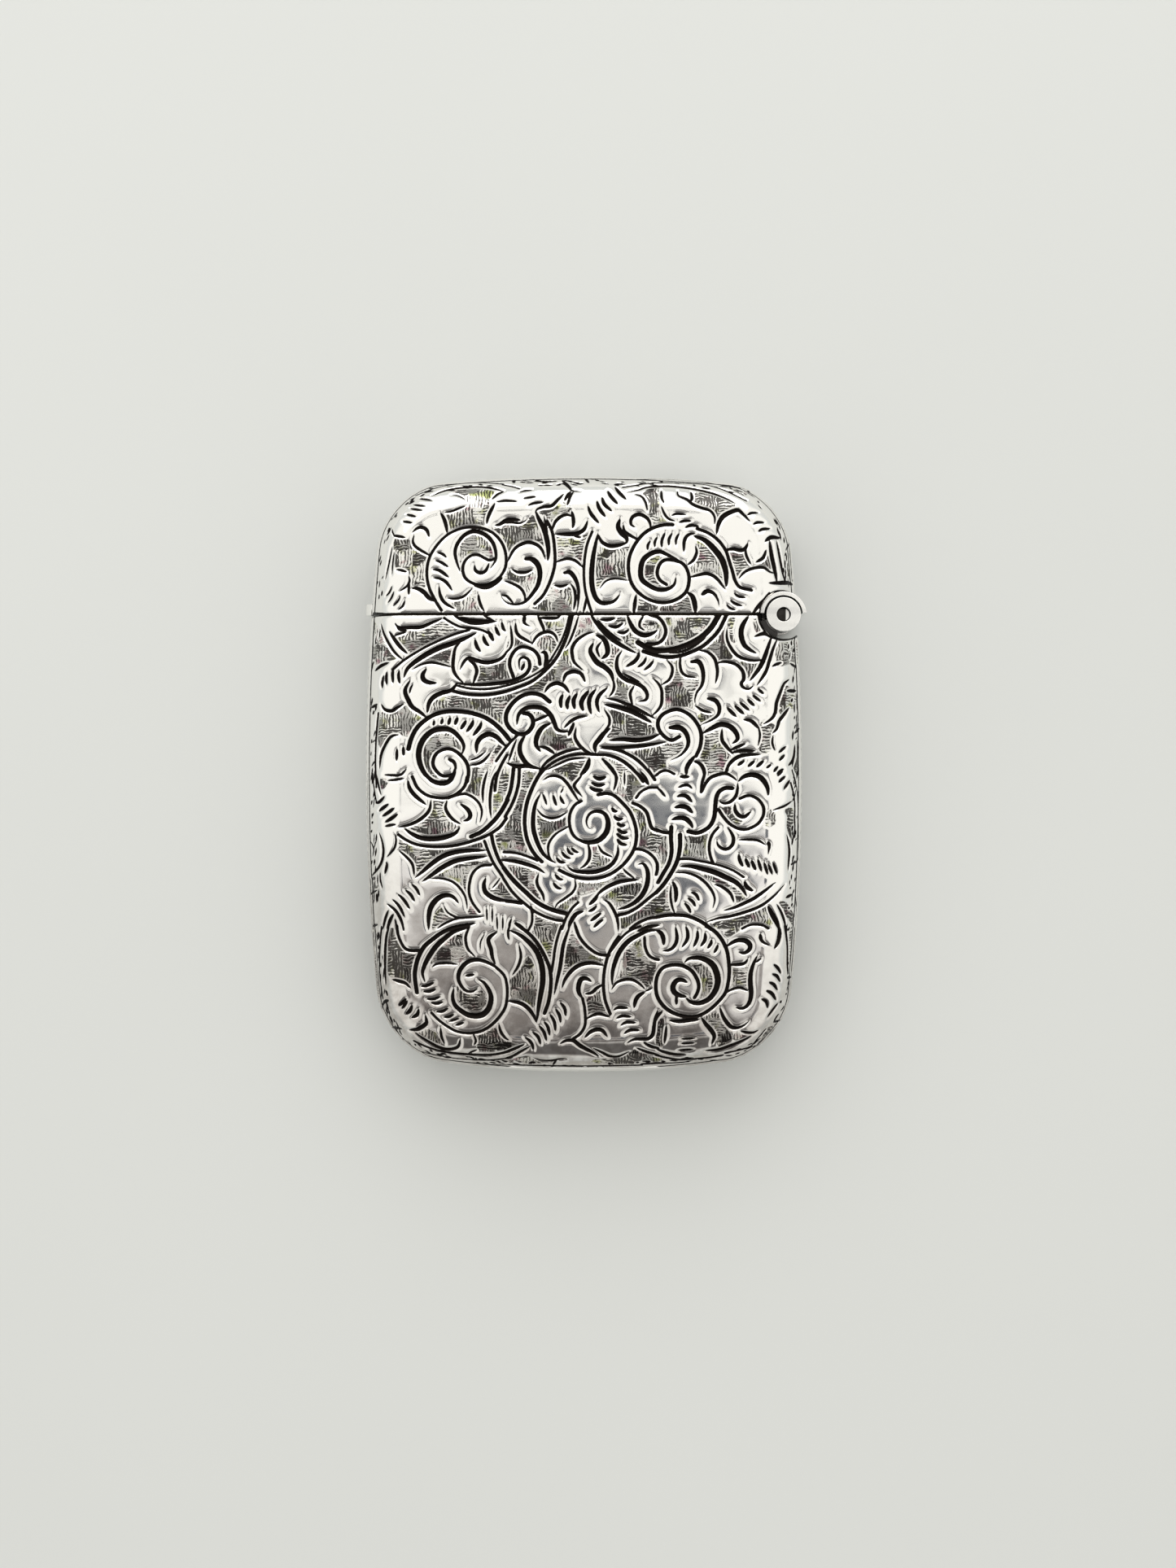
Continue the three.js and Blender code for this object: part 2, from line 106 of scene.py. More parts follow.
LID_MIDDLE = """
line .16 -6.3 22.5  -5.5 22.35  -5 22.2
cut .3 -5.47 22.85  -5.4 22.6
cut .2 -5 21.93  -4.6 22.05  -4 22.1
cut .22 -4.7 21.45  -4.3 21.52  -3.7 21.6
cut .24 -4.35 20.85  -3.9 21.05  -3.1 21.15
cut .22 -6.8 21.2  -6 21.28  -5.1 21.2
cut .3 -6.9 21.1  -7.2 20.5  -7.45 19.9  -7.55 19.4
cut .24 -6.2 22  -6.7 21.8  -7.15 21.4
cut .36 -6.9 19.3  -6.5 19.4  -6 19.7  -5.5 19.75  -4.9 19.7
cut .15 -6.4 19.45  -5.6 19.5  -5 19.45  -4.6 19.6  -4.4 19.8
cut .3 -3.9 22.9  -3.2 22.72  -2 22.75
cut .18 -2.1 22.5  -1.6 22.55  -1.2 22.3  -.9 22.05  -.3 21.98
cut .26 -1.7 22.8  -1.3 22.5  -.95 22.15
cut .28 -1 22  -1.25 21.7  -1.5 21.25
cut .24 -.8 21.95  -1.05 21.6  -1.3 20.85
cut .3 -1.55 21.8  -2 21.35  -2.5 20.85  -3.1 20.75  -3.6 20.55  -3.78 20.25
cut .42 -3.75 20.4  -3.5 19.8  -3.1 19  -2.85 18.1  -2.75 17.3  -2.8 16.5
cut .18 -3.1 20  -2.95 19.3  -2.8 18.5
line .26 -2.85 19.6  -2.5 18.9  -2.35 18.2  -2.25 17.2  -2.25 16.3  -2.45 15.4  -2.8 14.5  -3.2 13.8
    -3.8 13.2
cut .28 -2.45 18.9  -2.25 19.5  -1.8 19.95  -1.3 20.1  -.9 19.95
cut .3 -.95 20.4  -.85 20  -.8 19.5  -.87 19.05
cut .36 -2.25 18.62  -1.4 18.6  -.6 18.65  0 18.95  .3 19.65
cut .2 -.8 18.5  -.5 18.4  -.2 18.35
cut .3 -5.95 16.4  -5.5 17.3  -5 17.75  -4.3 17.97  -3.6 17.75  -3.2 17.3  -2.98 16.6
comma .5 -4.5 16.7  -4 16.65  -3.55 16.2  -3.4 15.5  -3.55 14.7  -3.9 14.1  -4.5 13.4  -5.2 13.15
    -5.9 13.25  -6.3 13.6  -6.45 13.95
cut .22 -6.45 13.9  -6 13.8  -5.7 13.5  -5.45 13.25
cut .24 -6.2 15  -5.5 14.75  -4.9 14.4  -4.6 13.9  -4.55 13.3
cut .26 -5.6 15.9  -5.1 15.65  -4.5 15.65  -3.95 15.85
cut .26 -2.2 16.4  -1.7 16.6  -1.2 16.7  -.6 16.5  0 15.95
comma .42 -1.5 15.6  -1.1 15.65  -.7 15.2  -.45 14.5  -.4 13.7  -.5 12.8  -.6 12.4
cut .24 -1.05 14.8  -.75 14.3  -.65 13.6  -.8 12.7
cut .24 -2.3 14.65  -1.8 14.55  -1.2 14.7
line .22 .65 18.8  .25 17.8  .05 16.6  0 15.4  .1 14.3  .35 13.3  .65 12.4
cut .42 1.1 18.7  .9 17.8  .7 16.7  .6 15.5  .65 14.5  .9 13.7  1.3 13.3  1.8 13.25  2.4 13.45
    2.8 13.95
cut .34 1.1 18.6  1.4 18  2 17.7  2.7 17.75  3.4 17.95
cut .18 1.25 14.4  1.7 14.95  2.4 15.15  3.45 15
cut .22 .2 13.7  .1 13.1  -.05 12.5
cut .3 .3 20.85  .55 20.2  1.2 19.4
cut .32 1 21.25  1.2 20.6  1.7 19.9
cut .32 1.4 21.55  1.6 20.95  2.2 20.35
cut .32 1.85 22.05  2.1 21.6  2.65 20.95
cut .32 2.4 22.35  2.75 21.9  3.3 21.35
cut .22 3.9 21.8  4.5 21.6  4.8 21.1  4.93 20.4
cut .32 4 19.1  3.65 19.4  3.75 19.9  4.3 20.15  4.9 19.85  5.15 19.4  5.15 19
cut .42 2.8 19.8  2.65 19.2  2.9 18.7  3.3 18.3  3.35 17.9
cut .28 3.05 19.35  3.15 18.85  3.6 18.5  4.25 18.15
line .16 3 22.3  4 22.45  5 22.6  6.5 22.65  8 22.6  9.5 22.5  11 22.1  12.7 21.35
cut .28 3.4 21.95  4.2 22.1  5 22.33  6.5 22.4  8.2 22.25  9.8 21.95  11 21.55  11.9 21.1
cut .2 .6 22.85  1.8 22.92  3.4 22.85  5 22.9  7 22.88  9 22.75  11 22.45  12.9 22.25
cut .2 -.7 22.65  -.4 22.55  0 22.58
cut .26 .1 22.95  .4 22.6
cut .3 4.05 13.9  3.95 13.2  3.85 12.4
ground -5.7 19.4  -4.6 19.5  -4 20.1  -3.6 19.6  -3.2 18.7  -3 17.6  -3.2 17.4  -3.8 17.95
    -4.5 18.05  -5.2 17.8  -6 16.9  -6.3 18  -6.6 18.6  -7 19  -6.6 19.3
ground -1.6 21.7  -2.3 21  -3 20.7  -3.5 20.3  -3.1 20  -2.85 19.5  -2.5 19.1  -2.2 19.7  -1.5 20.1
    -.95 20.3  -1.05 21  -1.35 21.2
ground -2.2 18.5  -1.2 18.5  -.2 18.75  .45 18.5  .15 17.3  0 16.1  -.7 16.55  -1.4 16.7  -2.15 16.4
    -2.25 17.4
ground -2.4 14.65  -1.8 14.5  -1.1 14.8  -.8 14.1  -.75 13.3  -.9 12.4  -3.9 12.8  -3.7 13.1  -3 14
ground -4.95 15.5  -4 15.75  -3.7 15.2  -4 14.5  -4.45 13.9  -4.8 14.6
ground -6.05 16.3  -5.6 15.85  -5.1 15.5  -4.95 15  -5.2 14.75  -6 15.1  -6.2 15.6
ground 1.2 18  1.8 17.65  2.6 17.7  3.7 17.6  3.55 16.9  3.45 15.8  3.6 15.05  2.5 15.1  1.6 14.9
    .95 14.3  .75 15.5  .9 16.8
ground 5.2 22.25  6 22.2  5.95 21.2  6 20.6  6.4 19.9  6.9 19.55  6 19.35  5.2 19.05  5.15 19.8
    4.95 20.5  4.95 21.2  4.5 21.75
ground 4.2 13.9  5 13.4  5.6 13.25  5.6 12.7  4 12.6
"""

LID_RIGHT = """
line .28 6.9 19.35  6.2 19.33  5.4 19.1  4.6 18.6  3.9 17.7  3.5 16.7  3.48 15.6  3.8 14.6
    4.5 13.85  5.4 13.4  6.3 13.3  7.2 13.55  7.9 14.1  8.15 14.9  8.1 15.6  7.8 16.2  7.3 16.5
    6.4 16.62  5.9 16.3  5.68 15.6  5.9 15.05  6.4 14.7
cut .42 7.15 15.3  7 14.7  6.5 14.35  5.8 14.3  5.1 14.6  4.5 15.1  4.4 15.8  4.6 16.6  5.2 17.1
    5.9 17.25  6.6 16.95  7.5 16.5
cut .22 4.95 17.35  4.95 17.7  5.15 18.1
cut .22 5.5 17.6  5.5 18  5.7 18.4
cut .24 6.05 17.55  6.05 18.1  6.3 18.75
cut .24 6.6 17.7  6.6 18.2  6.85 18.7
cut .22 7.15 17.75  7.15 18.2  7.4 18.7
cut .28 7.75 17.2  7.8 18.1  8.1 18.55  8.65 18.7
cut .26 8.65 17.75  8.75 17.2  8.5 16.6  8 16.2
cut .52 8.5 18.5  9.4 18.15  10.1 17.5  10.7 16.7  11 15.8  11.05 15.2  11.05 14.5
line .28 8.8 19.05  9.6 18.75  10.4 18.2  11 17.4  11.3 16.5  11.55 15.7  11.75 15  12.15 14.5
    13 14.28
cut .3 8.2 15.25  8.9 15.45  9.6 15.55  10.3 15.2  11 14.3
comma .42 9.2 13.95  9.6 14.2  10.1 14  10.4 13.5  10.5 12.95
cut .42 8 14.1  8.4 13.8  8.6 13.2  8.65 12.5
cut .24 11.65 14.05  12 13.8  12.55 13.7
cut .26 11.35 13.5  11.8 13.2  12.3 13.05
cut .22 11.05 13.15  11.4 12.85  11.8 12.75
cut .22 6 22.1  6.05 21.5  6.25 21.05
cut .22 6 20.85  6.25 20.2  6.6 19.8  7.1 19.63
cut .3 7.25 22.05  7.35 21.7  8 21.4  8.5 21  9.2 20.7  9.8 20.5  10.15 20  10.15 19.4
cut .26 8.3 22  8.4 21.6  8.3 21.2
cut .22 6.8 20.05  7.2 20.2  7.95 20.15
cut .24 7.35 19.52  7.8 19.65  8.35 19.65
cut .26 7.85 19.12  8.3 19.3  8.95 19.25
cut .4 10.3 18.6  10.45 19.4  10.8 20  11.4 20.4  12 20.6  12.4 20.3  13 19.65
cut .34 11 17.4  11.6 17.5  12.1 17.4  12.5 17.5  12.75 17.95
cut .24 12.55 17.6  12.6 17.1  12.75 16.7  13 16.25
cut .26 12 15.15  12.5 15.7  13.2 16  14 16.05  14.5 15.75  14.95 15.6
cut .3 13.35 16.45  13.9 16.75  14.1 17  14.25 17.45
cut .22 12.75 20.2  13.1 20.4  13.65 20.42
cut .24 13.2 19.45  13.6 19.65  14.15 19.65
cut .26 13.6 18.88  14 19.1  14.6 19.15
cut .36 14.15 18.1  14.7 18.45  15.35 18.38
cut .42 14.55 18.2  14.7 17  14.95 15.8  15.1 14.9
cut .28 15.08 18.2  15.3 17  15.5 15.8  15.7 14.9
cut .34 14.4 14.85  15.2 14.85  15.9 14.85  16.5 14.65
cut .22 14.5 21.5  14.8 20.9  15 20.25
cut .24 16.4 18.45  16.1 18  15.8 17.55
cut .28 15.4 19.5  15.7 19.5
cut .16 16.3 19.8  16.5 19.1  16.6 18.6
cut .2 16.6 17.9  16.7 16.5  16.8 15.2
cut .3 13 12.3  13.6 13.1  14.1 13.6  14.5 14.15
cut .28 12.8 22.35  12.85 21.9
ground 9 21.95  10 21.8  11 21.5  11.8 21.1  11.5 20.6  10.8 20.1  10.35 19.2  10.2 20.1  9.8 20.6
    9 20.85  8.5 21.2  8.4 21.75
ground 8.8 18.3  9.5 17.9  10.3 17  10.75 16  10.95 14.9  10.4 15.25  9.6 15.6  8.8 15.55  8.25 15.5
    8.2 16.1  8.7 16.7  8.85 17.5
ground 4.75 16.4  5.2 16.9  5.9 17.05  5.75 16.4  5.5 15.6  5.7 15  6.3 14.65  5.6 14.5  5 14.85
    4.6 15.4
ground 11.2 17.3  12.3 17.3  12.6 16.8  12.9 16.2  12.5 15.7  12 15.2  11.7 15.8  11.5 16.5
ground 13 16.2  13.6 16.5  14.3 17.1  14.55 16.5  14.75 15.75  14.2 16.05  13.6 16.15
ground 6.2 13.15  7.3 13.4  8 13.9  8.4 13.4  8.45 12.4  6 12.5
ground 15.7 17.4  16.3 17.8  16.6 17  16.75 15.5  16.4 14.9  15.8 15.1  15.65 16.2
ground 10.9 22.45  11.8 22.35  12.7 22.2  12.6 21.7  11.8 22
"""

# Its last line, a comma along the seam at the left end, is painted shadow: a black cut where the thumb
# lip shades the seam.
BODY_UPPER_LEFT = """
cut .32 -14.75 11.75  -14.4 11.4  -13.4 11.38  -12.6 11.42  -11.8 11.75  -10.95 12.08
cut .3 -14.6 11.5  -14.3 11.25  -13.75 11.1
cut .2 -13.8 11  -14.3 10.9  -14.8 10.72
cut .26 -15.82 11.7  -15.6 10.9  -15.2 10.1  -14.7 9.4  -13.95 8.8
cut .32 -15.2 11.1  -14.8 10.5  -14.3 9.9  -13.65 9.3
line .2 -10.85 12.1  -10.2 11.7  -9.5 11.4  -8.6 11.3  -7.9 11.15  -7.15 10.8
cut .34 -10.1 12.28  -9.4 11.95  -8.6 11.72  -7.7 11.75  -6.75 11.85
cut .26 -9.6 12.2  -8.9 12  -8 11.9  -6.8 11.85
cut .18 -7.75 12.25  -7.3 12.05  -6.95 11.88
line .22 -14.9 8.1  -14 8.8  -13 9.45  -12 10  -11 10.45  -10 10.85  -8.9 11.17
cut .46 -13.98 7.45  -13.7 8.15  -13.1 8.7  -12.2 9.3  -11.2 9.8  -10.3 10.1  -9.4 10.45  -8.3 10.95
cut .3 -16.25 8  -15.8 8.4  -15.2 8.65
cut .28 -15.6 7.65  -15.7 7.1  -15.7 6.65
cut .28 -15.35 7.95  -15.4 7.4  -15.35 6.9
cut .28 -14.85 8.25  -14.9 7.7  -14.85 7.05
cut .28 -14.35 8.05  -14.4 7.6  -14.3 7
cut .36 -13.45 7.3  -13.8 6.7  -13.85 6.3  -13.6 5.7  -13.3 5.2  -12.7 4.8  -12.1 4.3
cut .18 -13.25 7  -13.45 6.6  -13.5 6.25
cut .22 -13.3 8.1  -12.6 8.5  -11.8 8.65  -11 8.5  -10.2 8.27
cut .38 -12.2 8.2  -12.5 7.7  -12.4 7.3  -12 7.1  -11.4 7.05
cut .28 -9.5 10.3  -9.95 9.8  -10.1 9.1  -10.15 8.4  -10.05 7.9  -9.75 7.45  -9.3 7.05
cut .4 -9.8 7.05  -10.3 6.5  -11 6.3  -11.6 6  -12 5.5  -12.15 4.7
cut .32 -10.1 7.08  -9 6.95  -8 6.92  -7 7  -6 7.12  -5.2 7.35  -4.5 7.75  -4.2 8.3  -4.3 8.85
    -4.7 9.05  -5 8.8  -5 8.1
line .17 -9.8 6.85  -9 6.64  -8 6.56  -7 6.62  -6 6.84  -5 7.15  -4 7.6  -3 8.3  -2.3 9.3  -1.8 10.2
    -1.4 11.2  -1.12 12.3
line .28 -10.4 6.5  -9.3 6.23  -8.3 6.13  -7.3 6.16  -6.2 6.36  -5 6.76  -4 7.2  -3 8  -2.2 8.9
    -1.65 9.9  -1.25 10.9  -.9 12.3
cut .34 -9.6 8.1  -9.3 8.7  -8.9 9  -8.3 8.8  -7.6 8.65  -6.9 8.75  -6.3 9.05  -5.85 9.7
cut .28 -9 8.85  -8.5 8.5  -8.3 8  -8.45 7.4  -8.6 6.95
cut .3 -8.45 10.45  -8.3 9.9  -8 9.45
cut .3 -7.82 10.75  -7.65 10.25  -7.35 9.9
cut .32 -7.42 11.1  -7.2 10.7  -7 10.3
cut .28 -6.87 11.45  -6.7 11  -6.5 10.7
cut .26 -6.37 11.8  -6.25 11.3  -6.05 11.05
cut .3 -15.8 5.45  -15.5 5  -15 4.9  -14.5 5.15  -13.95 5.45
cut .26 -16.5 5.15  -16.05 5.42
line .36 -13.6 1.95  -13.4 2.7  -13 3.5  -12.4 4.1  -11.6 4.6  -10.6 4.85  -9.6 4.85  -8.6 4.7
    -7.6 4.35  -6.8 3.8  -6.2 3.2  -5.8 2.7
cut .46 -9.45 1.5  -9.3 2.2  -9.7 2.9  -10.3 3.4  -11 3.5  -11.8 3.3  -12.5 2.6  -12.8 1.7  -12.7 .8
    -12.3 0  -11.7 -.5  -10.9 -.85
comma .36 -10.45 1.15  -10.05 .9  -9.95 .4  -10.2 -.1
line .28 -10.2 -.05  -10.9 -.15  -11.4 .2  -11.7 .8  -11.5 1.5  -10.9 1.9  -10.2 1.9  -9.6 1.5
    -9.1 .9  -8.93 .2  -9.05 -.6
cut .22 -11.6 4.15  -11.65 3.75
cut .26 -10.95 4.3  -11.05 3.85
cut .28 -10.35 4.4  -10.5 3.8
cut .3 -9.78 4.4  -10 3.8
cut .3 -9.12 4.15  -9.3 3.85  -9.55 3.45
cut .32 -8.57 4.2  -8.7 3.8  -9.1 3.25
cut .32 -7.92 4.05  -8.1 3.6  -8.6 2.95
cut .42 -8.3 1.6  -8.3 2.3  -8 2.8  -7.4 3.1  -6.8 2.9  -6.4 2.5  -6 2.1
cut .24 -8.85 .68  -8.2 .8  -7.7 1.1  -7.2 1.7
cut .18 -8.85 1.05  -8.2 1.3  -7.6 1.75
cut .3 -14.35 3.05  -15 2.9  -15.5 2.2  -15.8 1.4  -15.9 .4
cut .26 -14.5 2  -14.55 1
cut .26 -14 2.15  -13.97 1.4
cut .24 -15.55 -.05  -14.8 -.1  -14.2 -.05  -13.75 .4
line .22 -16 4.7  -16.15 3  -16.22 1  -16.15 -1
ground -14.2 11  -13.4 11.25  -12.5 11.3  -11.7 11.65  -10.9 11.95  -10.2 11.55  -9.5 11.2
    -10.4 10.75  -11.5 10.3  -12.5 9.8  -13.5 9.25  -13.9 9.6  -14.4 10.2  -14.75 10.7
ground -16.3 11.8  -15.9 11.2  -15.5 10.4  -15 9.7  -14.4 9.05  -15 8.8  -16.2 8.5  -16.4 9.5
    -16.3 10.6
ground -12.8 8.75  -11.9 9.3  -10.9 9.75  -10.2 10.05  -10.1 9.2  -10.2 8.4  -11.2 8.6  -12 8.75
ground -14.8 5.05  -14.2 5.2  -13.6 5.4  -13 4.9  -12.25 4.4  -12.6 4.05  -13.2 3.5  -13.5 2.9
    -14.5 3.05  -15.2 2.7  -15.8 2  -16.05 3  -15.95 4  -15.6 4.95
ground -12 4.7  -11.6 5.8  -11 6.2  -10.2 6.4  -9 6.15  -7.6 6.1  -6 6.25  -5.3 5.9  -5.9 5.2
    -6.1 4.2  -6.5 3.8  -7.3 4.5  -8.3 4.9  -9.8 5  -11 4.9
ground -8.2 8.6  -7.6 8.5  -6.9 8.55  -6.2 8.8  -5.85 9.3  -5.75 8.4  -5.6 7.4  -6.5 7.15  -7.5 7.05
    -8.5 7.1  -8.25 7.8
ground -9.9 12.15  -9 11.95  -7.9 11.85  -8.7 11.75
ground -12.3 2.3  -11.8 3  -11 3.3  -10.2 3.1  -9.6 2.5  -9.5 1.8  -10.2 2.05  -11 2.05  -11.6 1.6
    -11.85 .8  -11.6 .1  -11.2 -.35  -11.9 -.2  -12.5 .9  -12.55 1.6
ground -7.75 2.85  -7 2.8  -6.6 2.4  -7 1.8  -7.4 1.2  -8.3 .6  -8.8 .6  -8.8 -.4  -7.5 -.5  -7.1 .7
    -6.4 1.7  -6.2 2.2
comma .3 -17.3 12.42 -15.6 12.42 -13.4 12.4
"""

BODY_UPPER_MIDDLE = """
line .28 -5.45 7.5  -5.75 8.4  -5.65 9.1  -5.2 9.7  -4.6 9.85  -3.9 9.6  -3.5 9.1  -3.4 8.5
cut .26 -4.6 8.6  -4.85 8  
cut .28 -5.3 11.75  -5.25 11.1  -5 10.7  -4.5 10.4  -3.95 10.1
comma .34 -4.6 12.2  -4.6 11.7  -4.1 11.42
cut .26 -3.6 12.3  -3.3 11.7  -3.1 11.2  -3.12 10.9
cut .28 -4.05 10  -3.7 10.6  -3.2 10.95  -2.6 11  -2.2 10.7  -2 10.2
cut .26 -3.45 12.12  -2.8 12.08  -2.1 12.1  -1.75 12.35
cut .22 -5.7 11.6  -5.6 10.8  -5.6 10  -6.05 9.3
cut .34 -3.35 9.4  -3 9.4  -2.9 8.9  -3.08 8.3
cut .2 -.4 12.3  -.7 11.3  -1.1 10.3  -1.45 9.7
cut .28 .85 11.02  .2 10.85  -.5 10.4  -.9 9.8  -.9 9.2  -.7 8.6  0 8
cut .42 .9 10.8  1.5 10.5  1.8 9.9  1.8 9.3  1.35 8.9
cut .44 .75 10.2  .5 9.6  .7 9.1  1.1 8.6  1.6 8.3  2.1 7.8  2.3 7.1
cut .22 2.25 7.4  2.35 6.8  2.2 6.3  1.95 6
cut .22 1.35 10.25  1 9.7  1.25 9
cut .34 -1.62 7.1  -1.4 7.7  -.8 7.95  -.2 7.75  .12 7.1
cut .34 -3.05 6.3  -2.7 6.8  -2.1 7.05  -1.5 6.8  -1.1 6.25
cut .32 -1.63 6.2  -1.8 5.7  -1.75 5.1
cut .32 -1.07 6.1  -1.3 5.5  -1.25 5
cut .34 -.5 6.3  -.8 5.7  -.7 5
cut .38 .4 6.5  -.1 5.8  -.2 5.4  -.03 4.85
cut .34 .95 6.6  .5 6  .4 5.4  .57 4.6
cut .32 1.85 6.72  1.2 6.1  1 5.5  1.2 4.75
line .34 -2.65 5.6  -3.3 6.1  -4.1 6.25  -4.9 6  -5.6 5.4  -6 4.7  -6 4  -5.6 3.4  -5 3.1  -4.4 3.2
    -4 3.7  -3.95 4.2  -4.2 4.6  -4.65 4.72
cut .4 -5.2 3.8  -5.05 4.6  -4.6 5.05  -4 5.2  -3.2 5.1  -2.6 4.6  -2.3 4  -2.1 3.5  -1.7 3.3
    -1.1 3.3
cut .26 -3.95 4.05  -3.3 4.35  -2.75 4.55
cut .28 -1.55 3.55  -1 4.1  -.4 4.4  .3 4.5
cut .3 -.75 4  -1 3.4  -1.2 2.95
cut .28 -.6 3.6  -.7 2.9  -.4 2.3  0 1.9  .5 1.6  1 1.48
cut .4 2.05 3.55  1.6 3.2  1.2 2.7  .85 2.2  .92 1.65
cut .22 1.55 5.05  1.95 4.4  1.95 3.8  1.55 3.35
cut .4 -2.55 3.95  -3.2 3.6  -3.6 3  -3.7 2.3  -3.35 1.7
cut .3 -3.45 2.15  -2.9 2  -2.5 1.75  -2.25 1.55
cut .38 -4.5 3.1  -4.9 2.4  -4.95 1.7  -4.6 1  -4.1 .6  -3.3 .38
cut .2 -5.85 .9  -5.5 2  -5.2 2.7
line .22 -5.1 3.05  -5.7 2.45  -6.2 1.85  -6.8 1
line .24 -5.95 1.5  -6.4 .7  -6.75 -.2  -6.9 -1.3
cut .34 -6 .85  -5.2 .6  -4.4 .62  -3.5 .4
cut .3 1.7 5.87  2.6 5.7  3.6 5.3  4.6 4.8  5.6 4.25
cut .44 1.55 5.4  2.6 5.2  3.6 4.9  4.4 4.5  5.3 3.95
cut .38 1.9 2.6  3 2.7  4 2.62  5 2.75  5.9 3.1
cut .32 1.2 2.15  2.3 2.05  3.5 2.1  4.6 2.2  5.6 2.35  6.4 2.5
cut .28 -3.5 .2  -2.8 1  -1.9 1.55  -1 1.85  -.1 1.95
line .24 -3.7 -.4  -2.9 .5  -2 1.1  -1 1.45  0 1.55  1 1.5  2 1.45  3 1.05  3.9 .3  4.6 -.6
cut .28 1 1.5  2 1.42  3 1  3.9 .25  4.6 -.6
cut .2 -2.9 .3  -2 .75  -1 1.15  .3 1.25
cut .28 1.3 2  2.4 1.9  3.4 1.55  4.3 .95  5 .2  5.6 -.6
cut .4 .45 1.25  .3 .7  .05 .25  -.3 -.1
cut .32 1.35 1.25  1.9 .7  2.3 .2  2.65 -.4
cut .38 .45 12.5  .9 11.8  1.4 11.2  2 10.6  2.7 10.1  3.4 9.7  4.1 9.35
cut .26 1.05 12  1.6 11.3  2.3 10.7  3 10.3
cut .28 1.25 12  1.8 11.95  2.45 12.08
cut .28 1.85 11.5  2.5 11.4  3.05 11.7
cut .26 2.55 11  3.1 10.95  3.5 11.2
cut .4 3.35 12.3  3.7 11.5  4.1 11  4.7 10.75  5.3 10.9  5.7 11.15
cut .22 4.65 12.3  4.35 11.8  4.35 11.4  4.75 11.1
line .28 5.1 12.35  5.8 12.1  6.2 11.6  6.35 11  6.1 10.4  5.6 10.1  4.9 10.1
cut .32 3.25 8.3  3.9 8.7  4.2 9.1  4.28 9.5
cut .26 4.15 8.25  4.6 8.6  4.85 9.05
cut .26 4.65 8.05  5.1 8.4  5.4 8.8
cut .36 2.95 9.55  2.6 9  2.55 8.3  2.8 7.7  3.3 7.3  4 7.05  4.6 6.7  4.9 6.2  4.8 5.75  4.2 5.62
cut .2 2.95 7.85  3.7 7.45  4.4 7.1
cut .24 3.9 6.85  3.6 6.3  3.65 5.8  3.78 5.3
cut .26 5.3 7.45  5.7 7.1  6 6.6  6.05 6  6 5.4  5.7 4.9  5.25 4.5
ground -5.9 10.2  -5.5 11  -5.2 10.7  -4.3 10.3  -3.95 9.95  -4.8 9.95  -5.5 9.6  -6 9.4
ground -3.8 10.2  -3.2 10.75  -2.6 10.85  -2.15 10.3  -1.9 9.9  -2.3 9.2  -2.8 8.5  -3.3 8.1  -4 7.8
    -4.1 8.3  -3.4 8.5  -3 9  -3.3 9.6
ground -3 11.95  -2 12  -1.4 12.3  -1.45 11.4  -1.85 10.5  -2.3 11.05  -3.05 11.1
ground -.5 12.3  .4 12.3  .9 11.6  .6 11.1  -.2 10.8  -.8 10.3  -1.05 9.9  -1 9.1  -.7 8.4  -.1 7.95
    -.9 8.05  -1.5 7.6  -1.7 7  -2.3 7.15  -3 6.75  -3.3 6.1  -4.2 6.35  -5 6.15  -6 6.3  -5 6.65
    -4 7.05  -3 7.8  -2.15 8.7  -1.55 9.7  -1.15 10.7
ground 2.1 10.4  2.9 9.95  2.5 9.2  2.45 8.4  2.7 7.6  3.3 7.15  3.85 6.85  3.55 6.3  3.65 5.4
    2.8 5.75  2.1 6  2.4 6.8  2.3 7.6  2 8.1  1.5 8.6  1.95 9.2  2.05 9.9
ground 2.1 5  3.2 4.75  4.2 4.3  5.2 3.8  5.6 3.3  4.5 2.85  3.3 2.85  2 2.75  1.65 3.2  2.1 3.7
    2.1 4.4
ground -3.5 2.9  -2.7 3.75  -2.2 3.4  -1.5 3.1  -.8 3  -.6 2.4  -.2 2  -1.2 1.85  -2 1.8  -2.6 2
    -3.3 2.2
ground -3.9 4.2  -2.9 4.7  -3.4 5.05  -4.2 5  -4.3 4.7
ground 2.1 10.6  3 11  3.6 11  4 10.3  4.05 9.5  3.3 9.9
ground 1.2 12.1  2.5 12.2  3.3 12.1  3.2 11.5  2.4 11.2  1.8 11.2
ground 4.5 11.6  5.2 11.8  5.9 11.6  6.1 11  5.8 10.4  5.2 10.35  5.7 10.9  5.5 11.2  4.9 11.2
ground 4.3 1.95  5.6 2.25  7.2 2.4  7.9 2  7.2 1.5  6.4 1.1  6.4 .3  5.9 .1  5.2 .2  4.6 1  3.9 1.6
ground -5.6 1.2  -5.3 2.5  -4.7 3  -5 2.2  -5.05 1.5  -4.7 .8
ground -2.6 .9  -1.6 1.2  -.4 1.45  .3 1.3  0 .5  -.5 -.1  -1.2 -.2  -1.8 .1  -2.3 .5
ground 1.5 1.3  2.3 1.2  3.2 .7  3.9 -.1  3.6 -.4  2.8 -.3  2.1 .7
"""

